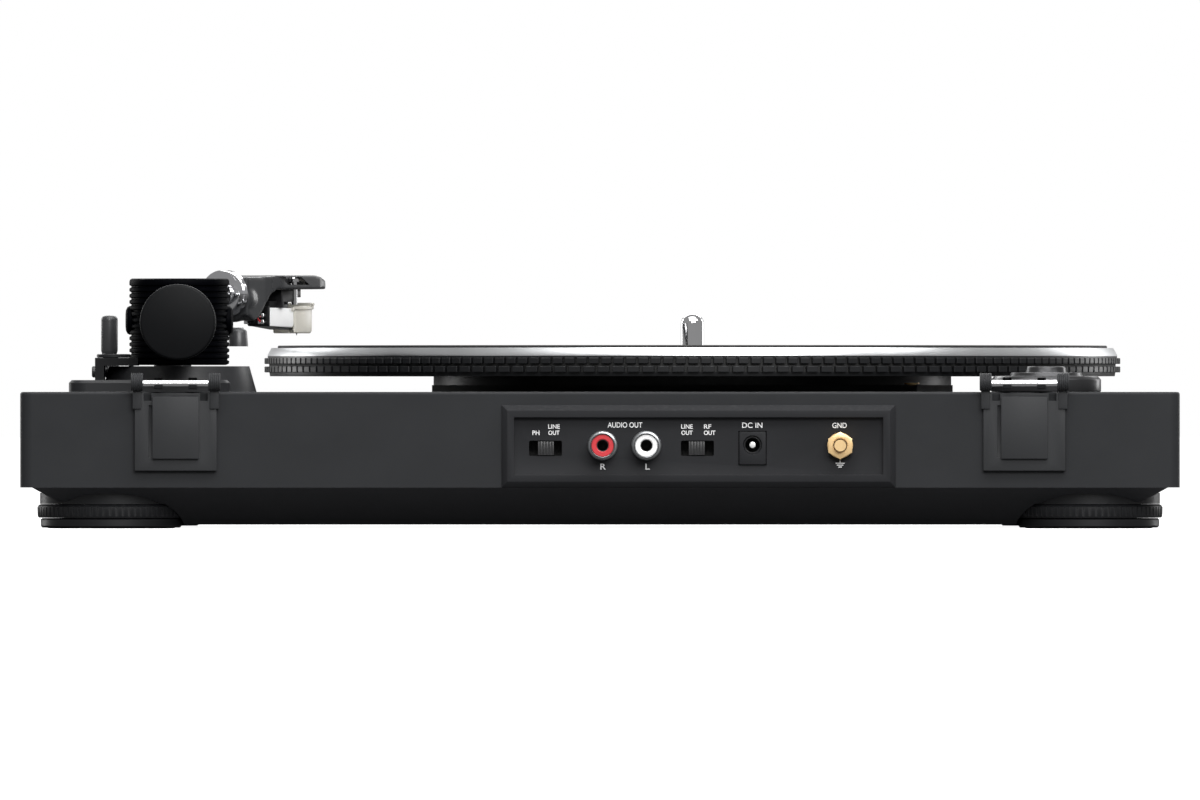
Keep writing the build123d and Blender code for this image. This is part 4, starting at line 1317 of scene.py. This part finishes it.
@dataclass
class Balance:
    """Counterweight with its force dial and sleeve behind the tower."""

    def weight(self) -> None:
        """Turns the counterweight: smooth rear face, a chamfer line brightened partly by wear and partly by painted
        highlight from the worn-edge colour, and milled grip.
        """
        span = Span.of("counterweight")
        wide, front, rear = span.size.x / 2, span.low.y, span.high.y
        at = (span.mid.x, 0, span.mid.z)
        weight = Bench.turned("counterweight_turned", [
            (wide - 0.7, front), (wide, front + 0.7), (wide, front + 4), (wide - 0.35, front + 4.4),
            (wide - 0.35, front + 5.2), (wide, front + 5.6), (wide, rear - 1.0), (wide - 0.12, rear - 0.5),
            (wide - 0.5, rear - 0.12), (wide - 0.9, rear), (0, rear)], 192)
        flute = Bench.block("flute", (wide - 0.22, -0.16, front + 7.4), (wide + 1, 0.16, rear - 3.2), 0)
        Bench.repeated(flute, 90, (0, 0, 0))
        bore = Bench.turned("bore", [(6.1, front - 1), (6.1, rear - 0.6)], 96)
        Bench.carved(weight, flute, bore)
        Bench.done(Bench.settle(weight, at, Facing.REAR), WEIGHT, "weight", "counterweight")

    def dial(self) -> None:
        """Turns the force dial and marks its scale."""
        span = Span.of("force_dial")
        wide, front, rear = span.size.x / 2, span.low.y, span.high.y
        at = (span.mid.x, 0, span.mid.z)
        dial = Bench.turned("force_dial_turned", [
            (6.1, front), (wide - 1.6, front), (wide - 0.2, front + 1.5), (wide, front + 1.8), (wide, rear - 0.3),
            (wide - 0.3, rear), (6.1, rear)], 128, ring=True)
        Bench.done(Bench.settle(dial, at, Facing.REAR), DARK, "force_dial", "force_dial")
        mark = Bench.block("mark", (wide - 0.02, -0.1, rear - 1.5), (wide + 0.03, 0.1, rear - 0.5), 0)
        Bench.repeated(mark, 30, (0, 0, 0))
        Bench.done(Bench.joined("force_dial_marks", [Bench.settle(mark, at, Facing.REAR)]), INK, "force_dial")

    def build(self) -> None:
        """Builds the balance end."""
        self.weight()
        self.dial()


@dataclass
class Tonearm:
    """S-shaped tube with its collar, headshell, cartridge, stylus and finger lift."""

    turn: float = 33.0
    tube_radius: float = 4.5
    skin: float = 0.42
    polish: int = 9
    body: str = "arm_tilt"

    def __post_init__(self) -> None:
        """Reads the sizes from the frame."""
        collar, tube = Span.of("locking_collar"), Span.of("arm_tube")
        self.x, self.y, self.z = collar.mid.x, collar.mid.y, collar.mid.z
        self.pivot = Span.of("pivot_block").mid
        self.rear, self.rear_z = tube.high.y, tube.low.z + self.tube_radius
        self.outer = tube.high.x - self.tube_radius
        self.shell = Span.of("headshell")

    def head(self, obj: bpy.types.Object) -> bpy.types.Object:
        """Lays a piece drawn with +X forwards on the headshell's line."""
        return Bench.settle(obj, (self.x, self.y, 0), Facing.UP, -90 - self.turn)

    def ahead(self, way: float, z: float) -> Point:
        """Point a distance in front of the collar's centre, at a height."""
        angle = math.radians(self.turn)
        return (self.x - math.sin(angle) * way, self.y - math.cos(angle) * way, z)

    def tube(self) -> None:
        """Bends the polished tube as a curve and gives it its thickness."""
        path = [(self.pivot.x, self.rear, self.rear_z), (self.pivot.x, self.pivot.y - 26, self.rear_z),
                (self.pivot.x + 0.7, 30, self.rear_z + 0.2), (self.outer - 0.3, -25, self.z - 0.6),
                self.ahead(-6, self.z), self.ahead(6.9, self.z)]
        tube = Bench.bent("arm_tube_bent", path, self.tube_radius, rounds=12, steps=32)
        Bench.done(tube, CHROME, self.body, "arm_tube")

    def collar(self) -> None:
        """Turns the locking collar with its grip rings."""
        back, front, wide = -5.0, 0.6, 8.3
        steps = [(self.tube_radius + 0.1, back), (wide - 0.7, back), (wide - 0.15, back + 0.3), (wide, back + 0.8),
                 (wide, back + 2.2), (wide - 0.35, back + 2.5), (wide - 0.35, back + 2.9), (wide, back + 3.2),
                 (wide, front - 0.5), (wide - 0.5, front), (self.tube_radius + 0.1, front)]
        collar = Bench.turned("locking_collar_turned", steps, ROUND, ring=True)
        Bench.settle(collar, (0, 0, self.z), Facing.RIGHT)
        Bench.done(self.head(collar), SMOKED, "collar", "locking_collar")

    def headshell(self) -> None:
        """Moulds the headshell: bulb at the neck, thin rounded top and open sides."""
        high = self.shell.high.z
        side = [(1.2, 74.2), (5.5, 72.2), (9.0, 73.6), (12.0, 77.2), (15.0, 81.2), (18.5, 83.2), (52.6, 83.5),
                (52.3, 84.4), (51.0, 85.7), (48.9, 86.9), (46.2, 87.9), (42.5, high), (20, high - 0.1),
                (12, high - 0.6), (1.2, 87.6)]
        body = Bench.upright("headshell_moulded", side, 18)
        plan = [(0, -7.4), (12, -7.9), (22, -9), (45.5, -9), (49.5, -8.5), (52.0, -6.6), (52.9, -3), (52.9, 3),
                (52.0, 6.6), (49.5, 8.5), (45.5, 9), (22, 9), (12, 7.9), (0, 7.4)]
        mask = Bench.settle(Bench.traced("plan", plan, 40), (0, 0, 80))
        Bench.carved(body, mask, how="INTERSECT")
        bulb = Bench.turned("bulb", [(6.2, 1.1), (7.9, 1.5), (8.25, 2.4), (8.25, 4.5), (7.8, 7.0), (6.8, 9.6),
                                     (5.2, 12.0), (3.0, 14.2), (1.0, 15.5)], 96)
        Bench.settle(bulb, (0, 0, 80.0), Facing.RIGHT)
        Bench.carved(body, bulb, how="UNION")
        Bench.modify(body, "REMESH", mode="VOXEL", voxel_size=self.skin * MM)
        Bench.modify(body, "SMOOTH", factor=0.6, iterations=self.polish)
        under = Bench.block("under", (27, -7.6, 80), (48.6, 7.6, 85.6), 1.2)
        cutters = [under]
        for y in (-5.5, 5.5):
            cutters.append(Bench.block("top_slot", (28, y - 1.4, 84), (40, y + 1.4, 91), 0.9))
        for way in (-1, 1):
            window = Bench.traced("window", [(18.8, 87.8), (25.0, 85.0), (38.6, 85.0), (33.2, 87.8)], 7)
            cutters.append(Bench.settle(window, (0, way * 9.6, 0), Facing.FRONT))
        Bench.carved(body, *cutters)
        Bench.done(self.head(body), HEAD, self.body, "headshell")

    def finger_lift(self) -> None:
        """Bends the bright finger lift at the outer side of the headshell."""
        path = [(41.0, 6.0, 84.9), (42.2, 9.5, 85.0), (43.5, 13.0, 85.3), (44.2, 16.0, 86.2)]
        lift = Bench.bent("finger_lift", path, 0.4, flat=0.9)
        Bench.done(self.head(lift), CHROME, self.body)

    def cartridge(self) -> None:
        """Makes the cartridge body, its mounting block, screws and contact pins."""
        mount = Bench.upright("mount", [(25.0, 76.9), (27.0, 76.9), (27.0, 78.9), (35.5, 78.9), (35.5, 80.6),
                                        (37.6, 80.6), (37.6, 83.6), (25.0, 83.6)], 12)
        Bench.soften(mount, 0.25)
        step = Bench.block("neck", (20.5, -4.0, 76.2), (32.6, 4.0, 79.2), 0.3)
        motor = Bench.upright("motor", [(18.9, 71.2), (19.5, 70.4), (20.2, 70.4), (20.2, 77.4), (19.5, 77.6),
                                        (18.9, 76.8)], 9.0)
        Bench.soften(motor, 0.3, 3)
        Bench.stepped(motor, (-1, 0, 0), [(0.8, 0), (0, -0.4)])
        body = Bench.joined("cartridge_moulded", [mount, step, motor])
        Bench.done(self.head(body), CARTRIDGE, self.body, "cartridge_body")
        pins = [Bench.settle(Bench.turned("pin", [(0.55, 0), (0.55, 2.2), (0.35, 2.6), (0, 2.6)], 24),
                             (19.2, y, z), Facing.LEFT) for y in (-3, 3) for z in (71.9, 74.2)]
        clips = [Bench.block("clip", (15.7, y - 0.75, z - 0.75), (17.7, y + 0.75, z + 0.75), 0.2)
                 for y in (-3, 3) for z in (71.9, 74.2)]
        screws = []
        for y in (-5.5, 5.5):
            screw = Bench.turned("screw", [
                (1.1, 78), (1.1, 86.0), (2.0, 86.1), (2.0, 87.2), (1.7, 87.6), (0.6, 87.7)], 48)
            cut = Bench.block("cut", (-2.2, -0.25, 87.0), (2.2, 0.25, 89), 0)
            Bench.carved(screw, cut)
            screws.append(Bench.settle(screw, (34, y, 0)))
        Bench.done(self.head(Bench.joined("cartridge_pins_and_screws", pins + clips + screws)), CHROME, self.body)

    def leads(self) -> None:
        """Bends the four thin leads from the neck to the contact pins."""
        for number, (y, z) in enumerate(((-3, 71.9), (3, 71.9), (-3, 74.2), (3, 74.2))):
            path = [(11.4, y * 0.5, 77.0), (13.4, y * 0.9, (77.0 + z) / 2), (15.9, y, z)]
            lead = Bench.bent(f"cartridge_lead_{number + 1}", path, 0.32)
            Bench.done(self.head(lead), (RED, WHITE, LEAD, BLACK)[number], self.body)

    def stylus(self) -> None:
        """Makes the stylus block, the cantilever with its tip and the clear guard."""
        block = Bench.upright("stylus_block", [(20.1, 70.4), (34, 69.9), (34.9, 70.8), (34.9, 75.6), (34, 76.8),
                                               (20.1, 76.9)], 9.4)
        Bench.soften(block, 0.3, 3)
        Bench.sunk(block, (1, 0, 0), 0.7, 0.5)
        Bench.done(self.head(block), STYLUS, self.body, "stylus_holder")
        plate = Bench.upright("stylus_base", [(19.4, 70.5), (32.4, 69.2), (35.5, 69.2), (36.5, 69.6), (34.4, 70.1),
                                              (20.4, 70.9)], 7.4)
        Bench.done(self.head(Bench.joined("stylus_base_plate", [plate])), CARTRIDGE, self.body)
        rod = Bench.turned("cantilever_rod", [(0.36, 0.0), (0.36, 8.3), (0.2, 8.8), (0, 8.8)], 32)
        rod.rotation_euler = (0, math.radians(106), 0)
        rod.location = Vector((35.6, 0, 70.5)) * MM
        Bench.only(rod)
        bpy.ops.object.transform_apply(location=True, rotation=True)
        tip = Bench.settle(Bench.turned("tip", [(0.32, 68.4), (0.3, 67.9), (0, 67.05)], 24), (43.9, 0, 0))
        Bench.done(self.head(Bench.joined("cantilever_rod", [rod, tip])), STEEL, self.body, "cantilever")
        arms = [Bench.block("arm", (34.2, y - 0.2, 76.3), (46.6, y + 0.2, 77.2), 0.12) for y in (-5.1, 5.1)]
        arms += [Bench.block("lug", (45.8, y - 0.2, 76.4), (46.8, y + 0.2, 78.6), 0.12) for y in (-5.1, 5.1)]
        arms += [Bench.block("root", (33.4, y - 0.6, 75.6), (34.4, y + 0.6, 77.2), 0.12) for y in (-4.7, 4.7)]
        Bench.done(self.head(Bench.joined("stylus_guard_lugs", arms)), CLEAR, self.body)
        guard = Bench.block("guard", (35.5, -4.75, 67.9), (46.4, 4.75, 77.6), 0.7, 3)
        room = Bench.block("room", (33, -4.1, 60), (45.8, 4.1, 80), 0.5)
        Bench.carved(guard, room)
        front = Bench.block("front", (45.6, -4.75, 68.5), (46.6, 4.75, 78.7), 0.35, 3)
        hinge = Bench.settle(Bench.turned("hinge", [(0.5, -5.7), (0.5, 5.7)], 32), (46.2, 0, 78.1), Facing.REAR)
        Bench.done(self.head(Bench.joined("stylus_guard_clear", [guard, front, hinge])), CLEAR, "guard",
                   "stylus_guard")

    def build(self) -> None:
        """Builds the tonearm from the pivot to the stylus."""
        self.tube()
        self.collar()
        self.headshell()
        self.finger_lift()
        self.cartridge()
        self.leads()
        self.stylus()


MAKERS = (Carried, Platter, Feet, LoosePieces, TerminalPanel, Hinges, ArmMount, Balance, Tonearm)


# ---------------------------------------------------------------- stage
@dataclass
class Studio:
    """Pale floor, soft lights and the camera behind the player."""

    sensor: float = 36.0
    distance: float = 12500.0
    view_width: float = 413.8
    view_height: float = 44.4
    floor_span: float = 60.0
    floor_tone: float = 0.93
    floor_bounce: float = 0.15
    floor_glow: float = 0.95
    sky: float = 0.3

    def floor(self) -> None:
        """Adds the plain pale floor."""
        Bench.clear()
        bpy.ops.mesh.primitive_plane_add(size=self.floor_span)
        ground = Bench.named("studio_floor")
        paper = bpy.data.materials.new("studio_paper")
        paper.use_nodes = True
        tree = paper.node_tree
        shader, ray = tree.nodes["Principled BSDF"], tree.nodes.new("ShaderNodeLightPath")
        tone, glow = tree.nodes.new("ShaderNodeMapRange"), tree.nodes.new("ShaderNodeMapRange")
        tone.inputs["To Min"].default_value, tone.inputs["To Max"].default_value = self.floor_bounce, self.floor_tone
        glow.inputs["To Min"].default_value, glow.inputs["To Max"].default_value = 0.0, self.floor_glow
        for dial in (tone, glow):
            tree.links.new(ray.outputs["Is Camera Ray"], dial.inputs["Value"])
        tree.links.new(tone.outputs["Result"], shader.inputs["Base Color"])
        tree.links.new(glow.outputs["Result"], shader.inputs["Emission Strength"])
        shader.inputs["Emission Color"].default_value = (1, 1, 1, 1)
        shader.inputs["Roughness"].default_value = 0.9
        shader.inputs["Specular IOR Level"].default_value = 0.0
        ground.data.materials.append(paper)

    def lamp(self, name: str, at: Point, aim: Point, size: tuple[float, float], power: float) -> None:
        """Adds one soft area light.

        Args:
            name: name of the light.
            at: its place in metres.
            aim: the point it looks at.
            size: its width and height in metres.
            power: watts.
        """
        data = bpy.data.lights.new(name, "AREA")
        data.shape = "RECTANGLE"
        data.size, data.size_y = size
        data.energy = power
        lamp = bpy.data.objects.new(name, data)
        bpy.context.collection.objects.link(lamp)
        lamp.location = at
        lamp.rotation_euler = (Vector(aim) - Vector(at)).to_track_quat("-Z", "Y").to_euler()

    def lights(self) -> None:
        """Lights the set from above and from all sides, on a world that is white only to the camera."""
        world = bpy.data.worlds.new("studio_world")
        world.use_nodes = True
        tree = world.node_tree
        sky, ray = tree.nodes["Background"], tree.nodes.new("ShaderNodeLightPath")
        dial = tree.nodes.new("ShaderNodeMapRange")
        dial.inputs["To Min"].default_value, dial.inputs["To Max"].default_value = self.sky, 1.0
        sky.inputs["Color"].default_value = (1, 1, 1, 1)
        tree.links.new(ray.outputs["Is Camera Ray"], dial.inputs["Value"])
        tree.links.new(dial.outputs["Result"], sky.inputs["Strength"])
        bpy.context.scene.world = world
        self.lamp("top_softbox", (0.0, 0.2, 1.6), (0, 0, 0.05), (1.4, 0.7), 10)
        self.lamp("front_softbox", (0.0, -1.5, 1.0), (0, 0, 0.06), (1.8, 0.5), 12)
        self.lamp("left_rim_strip", (1.2, -1.1, 0.35), (0.15, 0, 0.04), (0.35, 0.9), 5)
        self.lamp("right_rim_strip", (-1.2, -1.1, 0.35), (-0.15, 0, 0.04), (0.35, 0.9), 5)
        self.lamp("edge_softbox", (-0.3, 0.95, 1.4), (-0.03, 0.1, 0.06), (2.6, 0.6), 26)
        self.lamp("rear_softbox", (-0.5, 2.3, 1.1), (0, 0.1, 0.04), (1.6, 0.8), 40)

    def camera(self) -> None:
        """Adds the camera, level and so far behind the player that it sees almost no perspective."""
        rear = Span.of("plinth_shell").high.y
        data = bpy.data.cameras.new("rear_camera")
        data.sensor_width = self.sensor
        data.lens = data.sensor_width * self.distance / self.view_width
        data.clip_end = 4 * self.distance * MM
        camera = bpy.data.objects.new("rear_camera", data)
        bpy.context.collection.objects.link(camera)
        camera.location = Vector((0.0, rear + self.distance, self.view_height)) * MM
        camera.rotation_euler = (math.pi / 2, 0.0, math.pi)
        bpy.context.scene.camera = camera

    def build(self) -> None:
        """Sets the whole stage."""
        self.floor()
        self.lights()
        self.camera()
        bpy.context.scene.view_settings.view_transform = "Standard"


def main() -> None:
    """Builds the sub-assemblies in order, then the stage."""
    for maker in MAKERS:
        log.info("building %s", maker.__name__)
        maker().build()
    Studio().build()


if __name__ == "__main__":
    main()
